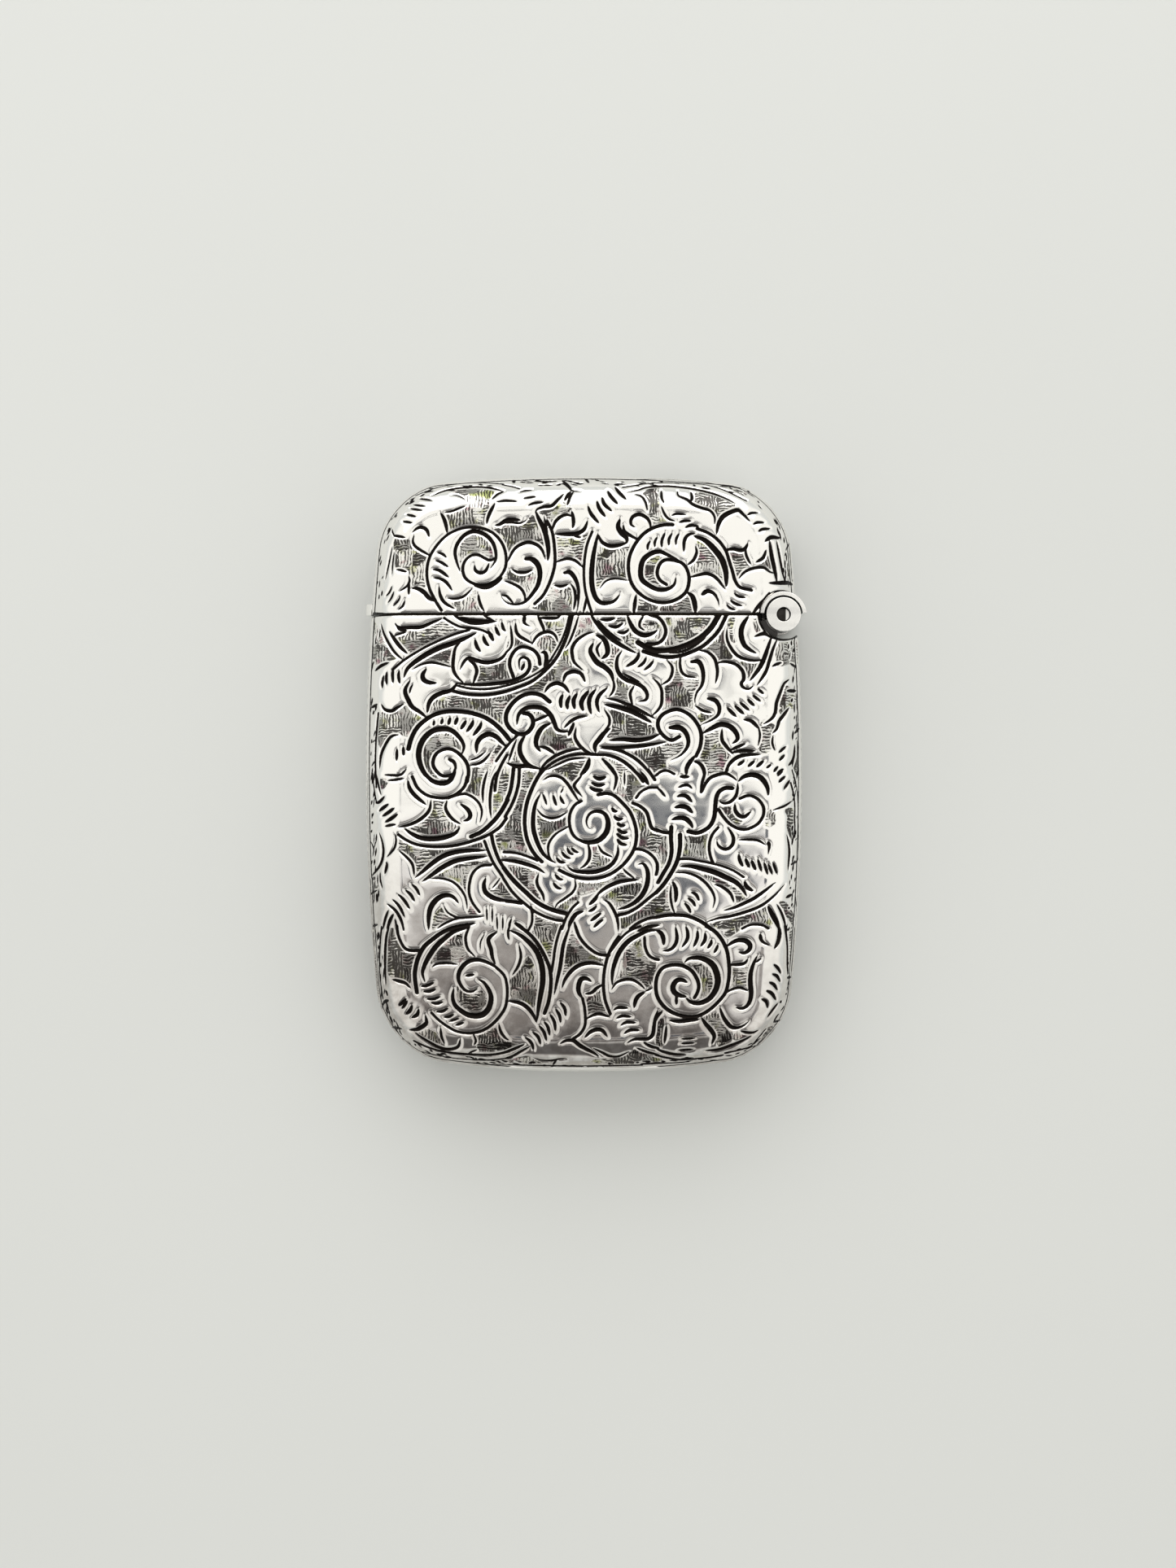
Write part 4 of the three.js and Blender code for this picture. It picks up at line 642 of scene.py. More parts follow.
BODY_MIDDLE_RIGHT = """
line .22 5.6 -.1  6 .2  6.5 .25  7 0
cut .22 5.6 -1.05  5.9 -1.25  6.35 -1.8
cut .26 7.3 -1.05  7.75 -.87  8.1 -.88  8.4 -1.15
cut .34 7.2 -1.75  7.6 -1.65  8 -1.75  8.4 -2.2
cut .4 7.02 -2.6  7.5 -2.5  8 -2.6  8.45 -3.05
cut .4 6.8 -3.55  7.3 -3.4  7.85 -3.45  8.25 -3.8  8.45 -4.2
cut .3 7.4 -.2  8.2 -.22
line .24 9.3 .4  9.35 0  9.15 -.7  9.1 -1.4
cut .3 9.15 -1.5  9.4 -.8  9.8 -.3  10.4 -.05  11 .03  11.5 -.2  11.9 -.55
cut .24 11.2 .4  10.9 .05
line .34 11.5 -1.1  11 -1.08  10.55 -1.3  10.3 -1.7  10.2 -2.3  10.15 -3  10.05 -3.5  9.75 -4.05
    9.25 -4.4  8.7 -4.57  8.1 -4.45
cut .28 11.92 -.7  11.9 -1.2  11.75 -1.75  11.35 -2.15  10.85 -2.27  10.45 -2.05
cut .44 11.95 -.6  12.4 -.2  13 -.05  13.6 -.2  14 -.6  14.25 -1.1  14.3 -1.7
line .26 12.1 -1.9  12.6 -1.7  13 -1.7  13.5 -1.95  13.85 -2.4  13.95 -2.85  13.85 -3.35  13.5 -3.85
    13 -4.15  12.5 -4.3  11.9 -4.2  11.3 -3.85  10.8 -3.3  10.45 -2.75
cut .34 11.7 -2.3  11.75 -2.85  12.1 -3.25  12.5 -3.28  12.95 -2.9
cut .2 14.7 -2.8  15.3 -2.6  15.75 -2.4  16.2 -2.08
cut .28 15.05 -.15  15.5 .3
cut .28 15.15 -.65  15.7 -.15
cut .28 15.55 -1.2  16.05 -.45
line .16 16.2 .3  16.45 -.6  16.6 -1.6  16.65 -2.8  16.68 -4  16.68 -6  16.6 -6.7  16.15 -7
line .2 16.1 -.7  16.3 -1.5  16.4 -2.4  16.4 -3.6  16.4 -4.4  16.2 -5.4
cut .26 15.8 -4.7  15.95 -5.4  16 -6.2  15.9 -7.5
cut .3 11.1 -4.1  11.4 -4.5  11.6 -5  11.5 -5.5  11.15 -5.8  10.75 -5.78  10.4 -5.5  10.3 -5.15
line .24 10.4 -4.15  9.95 -4.7  9.75 -5.3  9.72 -5.9  9.85 -6.5  10.05 -6.95
cut .24 12 -5.1  12.8 -5.08  13.5 -5.15  14.1 -5.5
comma .36 14.3 -5.3  14.4 -5.6  14.3 -6.25
cut .3 12 -6.2  12.1 -6.7  12.35 -7.2
cut .3 12.5 -6.5  12.85 -7.3
cut .3 12.97 -6.65  13.35 -7.5
cut .26 13.47 -6.55  13.8 -7.6
cut .26 13.95 -6.8  14.3 -7.85
cut .24 14.3 -6.9  14.7 -7.85
cut .26 14.68 -6.8  15.1 -7.8
cut .34 12.45 -8.3  12.65 -8.75  13.15 -9.1
line .2 7.3 -6.6  8.2 -6.6  9 -6.75  10 -6.95  10.9 -7.2  11.7 -7.55  12.4 -8
cut .44 7.4 -7.15  8.3 -7.15  9.2 -7.35  10.1 -7.6  11 -8  11.8 -8.4  12.3 -8.9  12.65 -9.5
cut .24 7.1 -7.65  7.9 -7.65  8.7 -7.9  9.3 -8.3  9.75 -8.8  10.05 -9.3  10.15 -9.8  10 -10.4
cut .26 10.1 -8.55  10.6 -8.7  11.1 -9  11.45 -9.4  11.65 -10
cut .32 10.85 -10.6  11.7 -10.35  12.5 -10  13.2 -9.65  14 -9.1  14.95 -8.4
cut .28 9.45 -11.5  10.4 -11.2  11.3 -11.05  12.4 -10.75  13.4 -10.4  14.2 -9.95  15 -9.3
    15.65 -8.55
line .3 5.6 -11.1  6.4 -10.95  7.2 -10.93  8 -11  8.8 -11.3  9.4 -11.65  9.9 -12.05
line .32 6.78 -4.1  6.75 -5  6.8 -6  6.6 -6.9  6.15 -7.7  5.75 -8.4
line .34 7.45 -4.7  7.45 -5.6  7.3 -6.5  7 -7.25  6.6 -7.95  6.1 -8.65  5.6 -9.2
line .28 5.6 -4.3  6.1 -4.5  6.55 -4.55
cut .34 6.85 -8.3  7.05 -8.7  7.15 -9.2  7.1 -10
cut .2 6.75 -8.6  6.72 -9.5  6.85 -10.3  7.1 -10.9
cut .26 8.3 -9.15  8.7 -9.35  8.95 -9.85
cut .26 8.05 -9.6  8.45 -9.9  8.65 -10.3
cut .26 7.8 -10  8.1 -10.35  8.3 -10.8
cut .44 14.3 -10.2  14.7 -10.9  15.05 -11.5  15.3 -12.1
cut .26 15.05 -10.1  15.4 -10.7  15.65 -11.4  15.8 -12.1
cut .28 15.75 -9.6  16.2 -9.35
line .22 12.3 -12  12.8 -11.75  13.3 -11.68  13.9 -11.75  14.4 -12
cut .28 5.6 -6.6  5.7 -7.1  5.65 -7.9
line .14 16.72 -7  16.75 -9  16.75 -10.2
line .18 16.5 -9.6  16.6 -12
ground 5.65 -4.8  6.5 -4.8  6.5 -5.8  6.4 -6.7  6 -7.4  5.75 -7.4  5.9 -6.5  5.6 -5.8
ground 7.7 -4.9  8.4 -4.75  9.1 -4.75  9.65 -4.55  9.5 -5.3  9.55 -6.1  9.75 -6.6  8.7 -6.45
    7.6 -6.4  7.75 -5.7
ground 9.2 -7.75  10.2 -8  11.1 -8.4  11.9 -8.95  12.4 -9.4  12.6 -9.8  12 -10.1  11.75 -9.6
    11.3 -9  10.6 -8.6  10 -8.4  9.6 -8.15
ground 10.6 -2.7  11.2 -2.5  11.6 -2.8  11.9 -3.3  12.3 -3.5  12.1 -3.9  11.5 -3.7  11 -3.2
ground 9.6 .4  11 .4  10.7 .15  10 .1  9.6 -.15  9.45 0
ground 14.2 -2.9  14.8 -2.85  14.85 -3.9  14.1 -4
ground 15.6 -2.8  16.1 -2.6  16.35 -3.2  16.3 -4.5  16.2 -5.2  15.9 -4.6  15.75 -4  15.8 -3.3
ground 10 -11.6  11 -11.25  12.4 -10.95  13.3 -10.7  14.05 -10.3  14.4 -10.8  14.8 -11.5  14.3 -11.8
    13.3 -11.5  12.6 -11.65  12 -12  10.1 -12
ground 5.7 -9.3  6.2 -8.9  6.6 -8.6  6.6 -9.6  6.65 -10.3  6.8 -10.75  6.2 -10.75  5.7 -10.85
ground 15.2 -9.95  15.7 -9.9  16 -10.3  16.4 -11.2  16.3 -11.9  16 -11.4  15.6 -10.8
"""

BODY_LOWER_LEFT = """
line .2 -15.8 -11.9  -15.9 -13  -15.95 -14.2  -15.95 -15.4  -15.88 -16.3  -15.72 -17.5
cut .3 -15.2 -11.8  -15.42 -12.5  -15.52 -13.4  -15.56 -14.4  -15.55 -15.6  -15.5 -16.5
cut .24 -15.5 -16.85  -15.4 -17.3
line .28 -14.6 -11.8  -14.5 -12.5  -14.2 -13.2  -13.85 -13.6  -13.4 -13.72  -12.85 -13.7
cut .2 -14.1 -11.7  -14 -12.2
line .34 -9 -11.7  -10.2 -11.95  -11 -12.3  -11.7 -12.8  -12.4 -13.4  -12.85 -14.2  -13.08 -15
    -13.15 -15.8  -13 -17
cut .4 -8.9 -11.9  -10 -12.2  -10.8 -12.75  -11.5 -13.4  -12.05 -14.2  -12.4 -14.9  -12.55 -15.5
    -12.35 -16.2
cut .24 -8.8 -11.7  -9.15 -12.5  -9.15 -13.1  -8.95 -13.65  -8.4 -14.2
cut .22 -11.8 -15  -11.4 -14.75  -10.6 -14.68  -9.8 -14.78
cut .34 -8.25 -16.65  -8.7 -16.9  -9.2 -16.8  -9.55 -16.4  -9.75 -15.9  -9.65 -15.3  -9.25 -14.75
    -8.7 -14.45  -8.1 -14.42  -7.4 -14.65  -6.8 -15  -6.25 -15.5
line .24 -6.8 -15  -6.2 -15.6  -5.98 -16.3  -5.95 -17.2  -6.1 -18.1  -6.6 -18.9  -7.25 -19.55
    -8 -19.98  -8.85 -20.15  -9.8 -20.05  -10.6 -19.65  -11.3 -19.15  -11.85 -18.6
cut .46 -8.25 -15.9  -7.75 -16.2  -7.35 -16.8  -7.2 -17.4  -7.35 -18.1  -7.75 -18.6  -8.3 -18.78
    -9 -18.7  -9.6 -18.35  -10.05 -17.9  -10.2 -17.3  -10.1 -16.6
cut .26 -9.2 -15.68  -8.5 -15.55
cut .26 -12.7 -16.52  -12.2 -16.45  -11.65 -16.2
cut .26 -12.5 -16.92  -12 -16.9  -11.5 -16.7
cut .24 -12.25 -17.5  -11.7 -17.5  -11.15 -17.3
cut .24 -11.9 -17.8  -11.4 -17.85  -10.95 -17.7
cut .24 -11.5 -18.5  -11 -18.45  -10.55 -18.2
cut .24 -10.9 -18.92  -10.5 -18.88  -10.1 -18.68
cut .2 -10.5 -19.25  -9.7 -19
cut .22 -10 -19.55  -9.3 -19.3
cut .3 -14.55 -18.1  -14.2 -17.8  -13.88 -17.5
cut .26 -14.3 -18.35  -13.75 -17.65
cut .32 -14 -18.8  -13.6 -18.45  -13.35 -18
cut .3 -13.5 -19.05  -13 -18.75  -12.85 -18.3
cut .3 -15.05 -16  -14.4 -16.15  -13.9 -16.3  -13.45 -16.7
comma .34 -15.35 -17.65  -15.65 -17.85  -15.95 -18.65
cut .26 -15.3 -19.9  -14.8 -19.8  -14.25 -19.95
cut .36 -12.35 -18.75  -12.25 -19.3  -12.4 -19.55  -12.8 -19.85  -13.1 -20  -13.7 -20.05
cut .34 -13.3 -20.2  -12.7 -20.65  -11.9 -21.1  -11.25 -21.4  -10.5 -21.52  -9.8 -21.3  -9.6 -20.65
cut .24 -11.15 -19.7  -11.1 -20.5  -10.85 -21.15
cut .2 -8.6 -20.2  -8.4 -20.8  -8.55 -21.15
cut .18 -8.3 -21.5  -9 -21.8
line .24 -13.3 -20.9  -12.3 -21.35  -11.2 -21.65  -10 -21.8  -8.7 -21.88  -7.4 -21.9  -6.6 -21.8
    -5.8 -21.6
line .16 -12.6 -21.7  -11.5 -21.95  -10.2 -22.15  -8.7 -22.25  -7.5 -22.28  -6.5 -22.2  -5.6 -22.1
line .14 -12.7 -21.92  -11.8 -22.12  -10.6 -22.3  -9 -22.45  -7.4 -22.58  -5.8 -22.62
cut .26 -6.6 -19.4  -6.45 -20  -6.1 -20.5  -5.8 -20.7
cut .34 -6.7 -12.2  -7.3 -12.65  -7.4 -13  -7.2 -13.6  -7.1 -14.2  -6.85 -14.8
cut .12 -7.7 -12.4  -8 -13  -8.05 -13.7
cut .16 -14.9 -20.95  -14.35 -21.25  -14.15 -20.65
ground -16.9 -12  -16.2 -12  -16.15 -14  -16.1 -16  -16 -17.3  -16.4 -18  -16.7 -16  -16.85 -14
ground -15.3 -12.2  -14.75 -12  -14.5 -12.9  -14.1 -13.6  -13.1 -13.95  -13.25 -14.6  -13.45 -15.4
    -13.5 -16.3  -14.2 -16  -15.1 -15.8  -15.35 -15.4  -15.3 -13.8
ground -11.4 -13.4  -10.7 -12.85  -9.5 -12.4  -9.35 -13.3  -8.9 -14.1  -9.2 -14.55  -9.8 -14.6
    -11 -14.5  -11.95 -14.75  -11.8 -14
ground -9.85 -16.4  -9.3 -17  -8.5 -17.15  -7.95 -16.8  -7.6 -17.2  -7.65 -18  -8.2 -18.35  -9 -18.3
    -9.6 -17.9  -9.85 -17.2
ground -13 -20.15  -12.4 -19.85  -11.6 -20.1  -11.25 -20.6  -11.15 -21.1  -12 -20.85  -12.6 -20.55
ground -8.2 -20.3  -6.9 -19.7  -6.6 -20.3  -6.2 -20.8  -6.3 -21.4  -7.4 -21.6  -8.2 -21.5  -8.35 -21
"""

BODY_LOWER_MIDDLE = """
cut .2 -5.8 -11.8  -5.88 -12.3  -5.8 -12.9
cut .46 -5.8 -12.1  -5 -12.45  -4.3 -13  -3.7 -13.7  -3.35 -14.5  -3.2 -15.3  -3.2 -16.2
    -3.35 -17.1  -3.5 -18  -3.65 -19.2
line .3 -5 -11.8  -4.4 -12.25  -3.8 -12.85  -3.3 -13.6  -2.9 -14.4  -2.65 -15.1  -2.55 -15.9
    -2.6 -16.8  -2.75 -17.7  -3.05 -18.55
line .22 -1.75 -11.8  -2.05 -12.7  -2.25 -13.6  -2.35 -14.4  -2.5 -15.3
cut .32 -1.05 -11.7  -1.35 -12.5  -1.6 -13.3  -1.72 -14.1  -1.85 -15  -2.05 -15.9  -2.3 -17.1
line .26 -.65 -11.8  -.4 -12.5  0 -13.1  .6 -13.65  1.2 -13.98  1.95 -14.05
cut .34 -1.7 -16.6  -1.5 -16  -1.1 -15.4  -.6 -14.95  0 -14.7  .7 -14.65  1.6 -14.85
line .26 2.7 -12.6  2.3 -13.2  1.9 -14  1.65 -14.9  1.52 -15.9  1.55 -16.9  1.7 -17.7  2.05 -18.6
cut .4 5.8 -12.1  5 -12.15  4.2 -12.5  3.4 -13  2.75 -13.8  2.35 -14.8  2.2 -15.6  2.2 -16.4
line .2 4.4 -11.8  3.55 -12.15  2.85 -12.75  2.1 -13.7
cut .4 .6 -16.1  .2 -15.85  -.2 -15.9  -.4 -16.35  -.4 -16.9  -.1 -17.4
cut .28 .1 -17.05  .6 -16.95  1 -16.6  1.5 -16.3
line .24 -.1 -17.4  .05 -18.1  .12 -19  .05 -19.6  -.3 -20.15  -.85 -20.55
cut .26 .2 -18.98  .7 -18.7  1.25 -18.6  2.05 -18.85
cut .28 -1.85 -17.7  -1.5 -18.15  -1.4 -18.8
cut .28 -2.2 -18.2  -1.9 -18.7  -1.8 -19.3
cut .28 -2.65 -18.6  -2.3 -19.2  -2.2 -19.95
cut .28 -3.1 -19.2  -2.8 -19.6  -2.65 -20.3
cut .28 -3.5 -19.5  -3.1 -20  -2.88 -20.75
cut .28 -4 -20  -3.55 -20.4  -3.35 -21.05
cut .28 -4.6 -20.4  -4.1 -20.85  -3.9 -21.5
cut .34 -5.9 -17.6  -5 -17.75  -4.4 -18.1  -3.95 -18.65  -3.65 -19.3
cut .24 -5.05 -13.2  -4.88 -14.1  -5.1 -14.9  -5.55 -15.6
cut .26 -6.3 -21.75  -5.4 -21.4  -4.6 -21
cut .24 -6.2 -22.15  -5.5 -21.95  -4.9 -21.6  -4.2 -21.2
cut .2 -3.95 -22.05  -3.4 -22.25  -2.6 -22.28  -2 -22.18  -1.3 -22.1
cut .2 -2.1 -22.2  -2.4 -22.6
cut .36 -1.85 -20.95  -1.4 -20.7  -.8 -20.7  -.3 -21.1  .2 -21.4  .7 -21.65  1.15 -21.95
cut .26 .7 -21.3  1.4 -21.65  2 -21.95  2.7 -21.98  3.5 -21.6
cut .34 .05 -20.45  .5 -20  1 -19.8  1.45 -19.9  1.85 -20.4
cut .26 2.3 -18.3  2.7 -18.1  3.45 -18.15
cut .26 2.5 -18.95  3 -18.75  3.7 -18.85
cut .26 2.85 -19.5  3.3 -19.25  4.05 -19.3
cut .28 3.1 -20.15  3.6 -19.85  4.35 -19.88
cut .34 3.35 -20.9  3.9 -20.6  4.5 -20.58  5 -20.55  5.35 -20.2  5.45 -19.5  5.55 -18.9  5.75 -18.3
cut .26 2.15 -16.7  2.5 -16.2  3.1 -15.95  3.75 -15.95  4.3 -16.25  4.75 -16.7
cut .36 4.75 -16.9  4.25 -17.2  4 -17.6  3.9 -18.15
cut .18 4.75 -16.85  5.3 -16.6
line .24 4.7 -12.7  4.75 -13.4  5 -14  5.4 -14.3  5.8 -14.4
cut .28 4.6 -20.85  5.2 -21.2  5.9 -21.4
cut .26 4.05 -21.3  4.9 -21.65  5.9 -21.9
line .2 -5.8 -22.6  -3 -22.65  0 -22.68  4.5 -22.62
ground -5.75 -16  -4.9 -15.1  -4.6 -14.3  -4.2 -14.2  -3.75 -15.1  -3.65 -16.2  -3.7 -17.2
    -3.9 -18.1  -4.6 -17.8  -5.8 -17.4
ground -3.9 -12.3  -3 -11.9  -2.1 -11.9  -2.3 -12.9  -2.45 -13.9  -2.7 -14.5  -3.1 -13.7  -3.5 -12.9
ground -.9 -12.3  -.5 -12.7  -.1 -13.3  .5 -13.85  1.2 -14.15  1.8 -14.3  1.6 -14.65  .6 -14.45
    -.3 -14.6  -1.1 -15.1  -1.6 -15.8  -1.55 -14.9  -1.4 -13.8  -1.15 -12.8
ground .3 -17.25  1.35 -16.8  1.45 -17.8  1.8 -18.5  1.1 -18.45  .35 -18.75  .25 -18
ground 2.85 -15.3  3 -14.1  3.7 -13.3  4.5 -12.8  4.6 -13.5  5 -14.3  5.6 -14.6  5.5 -15.4
    5.25 -16.3  4.75 -16.5  4.1 -15.9  3.4 -15.75  2.6 -15.9
ground .8 -22.15  1.8 -22.1  3.4 -21.8  3.95 -21.4  5 -21.9  5.9 -22.1  5.9 -22.5  1 -22.45
ground -6.2 -20.8  -5.3 -20.95  -5.1 -21.05  -5.7 -21.4  -6.2 -21.55
ground -5.9 -22.3  -4.5 -21.9  -3.9 -22.15  -2.7 -22.42  -5.6 -22.45
"""

BODY_LOWER_RIGHT = """
cut .36 5.6 -12.1  5.95 -12.3  6.15 -12.7  6.2 -13.3
cut .3 6.1 -13.7  6.6 -13.65  7 -13.35  7.22 -12.75  7.1 -11.8
cut .3 7.9 -11.8  8.05 -12.3  8 -12.85  7.6 -13.45
cut .28 8.8 -12.1  8.8 -12.7  8.5 -13.45
cut .3 9.4 -12.3  9.4 -12.85  9.05 -13.4
cut .28 9.9 -12.85  9.85 -13.15  9.6 -13.55
cut .26 10.4 -13.25  10.3 -13.55  10.1 -13.9
line .3 9.5 -11.8  10.15 -12.2  10.7 -12.85  11.1 -13.7  11.25 -14.6  11.3 -15.4  11.2 -16.3  11 -17
    10.5 -17.65  9.8 -18.3  9 -18.75  8.2 -18.85  7.35 -18.7  6.6 -18.35  6.05 -17.85  5.68 -17.2
    5.58 -16.4  5.7 -15.65  6.05 -15.1  6.6 -14.85  7.25 -14.8  7.85 -14.95  8.4 -15.3  8.8 -15.95
    8.92 -16.5  8.8 -17  8.6 -17.35
cut .5 7.8 -14.65  8.1 -14.35  8.6 -14.25  9.15 -14.3  9.7 -14.55  10.1 -14.95  10.35 -15.6
    10.4 -16.2  10.2 -16.85  9.8 -17.4  9.3 -17.7  8.8 -17.8  8.3 -17.7  7.9 -17.35
cut .44 8.05 -16.2  7.7 -16  7.3 -15.98  7 -16.25  6.9 -16.65  7.1 -17  7.5 -17.2  8 -17.3
cut .26 7.15 -17.2  7.2 -17.95
cut .4 11 -13.45  11.5 -13.1  12 -12.9  12.55 -12.95  12.9 -13.25  12.85 -13.65  12.45 -13.9
    12 -13.8
cut .3 11.3 -14.8  12 -14.8  12.5 -14.7  12.75 -14.35
cut .4 13.5 -14.1  13.25 -14.6  13 -15.4  12.95 -16.2  13.02 -17  12.95 -17.6  12.7 -18.05
    12.3 -18.25  11.8 -18.15
cut .2 13.8 -14.3  13.4 -14.65
cut .24 11 -17.05  11.5 -16.75  12.15 -16.62  12.8 -16.88
cut .32 10.55 -18.1  10.8 -18.8  11.1 -19.3  11.5 -19.7  12 -19.78  12.5 -19.6  12.85 -19.3
cut .28 14.85 -14.8  15.2 -15.1  15.45 -15.55
cut .28 14.75 -15.55  15.15 -15.75  15.4 -16.2
cut .28 14.5 -16.2  14.9 -16.4  15.2 -16.85
cut .3 14.25 -16.85  14.75 -17.1  15.1 -17.65
cut .28 13.85 -17.5  14.3 -17.75  14.45 -18.3
cut .26 15.25 -17.85  14.85 -18.4  14.4 -19.05
comma .34 13.7 -12.5  13.8 -12.9  14.1 -13.15  14.7 -13.4
cut .44 15.2 -11.8  15.3 -12.3  15.2 -13  14.9 -13.6
line .26 15.7 -11.8  15.82 -12.6  15.9 -13.5  15.9 -14.8  15.95 -15.5
comma .3 15.9 -15.85  16.3 -15.8
line .2 16.6 -11.9  16.6 -13.2  16.5 -14.6  16.4 -15.5
line .16 16.42 -15.6  16.42 -16.6  16.3 -17.4  16.15 -18.2
comma .3 14.9 -19.35  15.6 -19.25  15.4 -19.7
cut .3 5.5 -19.3  5.7 -18.8  6.1 -18.4
cut .34 6.6 -19.1  7.4 -19.2  8.2 -19.12  9 -19.08
cut .26 6.4 -19.5  6.35 -20.2  6.25 -21
cut .36 9.1 -18.9  9.5 -19.45  9.95 -20  10.15 -20.5  9.95 -21.15
cut .24 7.55 -20.62  8.65 -20.58
cut .24 7.5 -21  8.65 -20.97
cut .26 7.3 -21.55  8.5 -21.5
cut .3 5.6 -21.4  6.2 -21.65  7 -21.85  7.95 -21.85
cut .34 9.4 -21.6  10.4 -21.55  11.3 -21.3  12 -21.05  12.6 -20.8  13.15 -20.5
line .22 5.6 -21.9  6.4 -22.1  7.5 -22.25  8.6 -22.2  9.8 -22.1  10.8 -21.95
line .2 11 -21.8  12 -21.62  12.9 -21.35  13.3 -21.05  13.8 -20.5  14.25 -20
line .2 4.5 -22.55  5.6 -22.5  6.8 -22.48  8.1 -22.4
cut .26 12.2 -20.05  12.8 -20.25  13.3 -20.25  13.7 -20.05
line .16 13 -21.35  14 -21.05  14.7 -20.5  15.1 -20.1
ground 11.45 -15  12.7 -14.85  12.75 -15.8  12.75 -16.55  12 -16.4  11.4 -16.7
ground 8.3 -14.8  9.1 -14.7  9.75 -15.2  10 -16  9.95 -16.8  9.4 -17.35  8.95 -17.35  9.1 -16.6
    8.98 -15.8  8.6 -15.2
ground 9.4 -18.85  10.5 -18.6  10.8 -19.4  11.3 -20.05  11.55 -20.6  11.2 -20.9  10.5 -21.3
    10.3 -20.5  9.95 -19.7
ground 11.8 -20.15  12.4 -20.25  13.2 -20.4  12.4 -20.75  11.7 -20.8
ground 5.7 -19.3  6.2 -19  6.2 -20  6.1 -21.3  5.6 -21.2
ground 16.05 -12  16.5 -12  16.45 -13.6  16.35 -14.8  16.1 -15.4  16 -13.6
ground 10.9 -12.3  11.9 -11.9  12.6 -11.9  12 -12.2  11.2 -12.7
ground 14.4 -19.8  15.1 -19.7  14.7 -20.2  13.9 -20.9  13.5 -21
"""

PANELS = (
    LID_LEFT,
    LID_MIDDLE,
    LID_RIGHT,
    BODY_UPPER_LEFT,
    BODY_UPPER_MIDDLE,
    BODY_UPPER_RIGHT,
    BODY_MIDDLE_LEFT,
    BODY_MIDDLE,
    BODY_MIDDLE_RIGHT,
    BODY_LOWER_LEFT,
    BODY_LOWER_MIDDLE,
    BODY_LOWER_RIGHT,
)

# ---- Driving dimensions, the same as the part's ----

THICKNESS = 9.0
WIDTH = 34.4
HEIGHT = 47.0
CORNER_R = 5.2
EDGE_IN = 3.0
EDGE_BAND = 1.4
WALL = 0.6
SIDE_BOW_R = 200.0
TOP_BOW_R = 150.0
BASE_BOW_R = 90.0
SEAM_Y = 12.4
SEAM_GAP = 0.1
HINGE = (15.5, 12.4)
BODY_NOTCH_R = 1.9
LID_NOTCH_R = 1.83
BASE_LENS = (13.62, 2.92)  # half length and half height of the opening for the base frame
MID_GAP = 0.02

MID_Z = THICKNESS / 2
EDGE_DROP = (THICKNESS - EDGE_BAND) / 2
CORE_X = WIDTH / 2 - CORNER_R
CORE_Y = HEIGHT / 2 - CORNER_R
CORE_R = CORNER_R - EDGE_IN

# The engraving is drawn as it looks from straight above, at this eye point.
EYE = (0.32, -0.77, 214.5)
EDGE_SEEN = 0.94  # the drawing reaches this share of the way out over the rounded edge

# ---- The engraving's depth and the metal's gentle unevenness ----

CUT_DEPTH = 0.14
CUT_SLOPE = 1.0
GROUND_DEPTH = 0.04
GROUND_FADE = 0.3  # width of the step down to the ground
SHOULDER_DEPTH = 0.05  # the metal falls away beside a cut
SHOULDER_WIDTH = 0.27
PILLOW_DEPTH = 0.006  # and more gently further from it
FLAT_X = 14.2  # half the width and half the height of the flat part of the face
FLAT_Y = 20.5
FLAT_FADE = 2.5
DOME_X = 0.12  # how far the face falls from its middle to the ends of its flat part
DOME_Y = 0.16
DENT_HEIGHT = 0.012
# The low waves across the metal: strength, then how fast each goes with p and q, and its start.
WAVES = (
    (1.0, 0.61, 0.33, 1.1),
    (1.0, 0.27, -0.71, 0.4),
    (0.6, 1.13, 0.92, 2.2),
    (0.5, 1.57, -0.63, 5.0),
)
SEAM_SHADE = 0.06  # how far the black edge at the seam reaches: a shallow bevel, coloured black as painted shade of the seam gap
NOTCH_SHADE = {"body": 0.14, "lid": 0.02}  # and at the notch for the hinge, also painted shade
PITCH = 0.08  # between the places of the outer skin, and of the engraving's grid
INNER_PITCH = 0.3
REACH = 0.75  # how far from a cut its distance is worked out
SLOPE_STEP = 0.02  # how far apart two places are when the surface's slope is worked out
ROUNDS = 4  # rounds of a calculation that comes closer each time


# ---- The unrolled face ----
# A place on a half shell is (p, q): the face itself, with its rounded edge and upright band
# rolled out flat around it.

TURNS = np.linspace(0.0, math.pi / 2, 200)
EDGE_RUNS = np.concatenate(
    [
        [0.0],
        np.cumsum(
            np.hypot(
                np.diff(EDGE_IN * np.sin(TURNS)),
                np.diff(EDGE_DROP * (1 - np.cos(TURNS))),
            )
        ),
    ]
)
EDGE_RUN = EDGE_RUNS[-1]
BAND_RUN = EDGE_BAND / 2


def core_offset(x, y):
    """The nearest point of the face's inner rectangle, the way out from it and how far."""
    near_x = np.clip(x, -CORE_X, CORE_X)
    near_y = np.clip(y, -CORE_Y, CORE_Y)
    away = np.hypot(x - near_x, y - near_y)
    safe = np.maximum(away, TINY)
    return near_x, near_y, (x - near_x) / safe, (y - near_y) / safe, away


def bow(x, y):
    """Where the slight bow of the sides and ends takes a place of the straight outline."""
    end_r = np.where(y > 0, TOP_BOW_R, BASE_BOW_R)
    return x * (1 - y * y / (SIDE_BOW_R * WIDTH)), y * (1 - x * x / (end_r * HEIGHT))


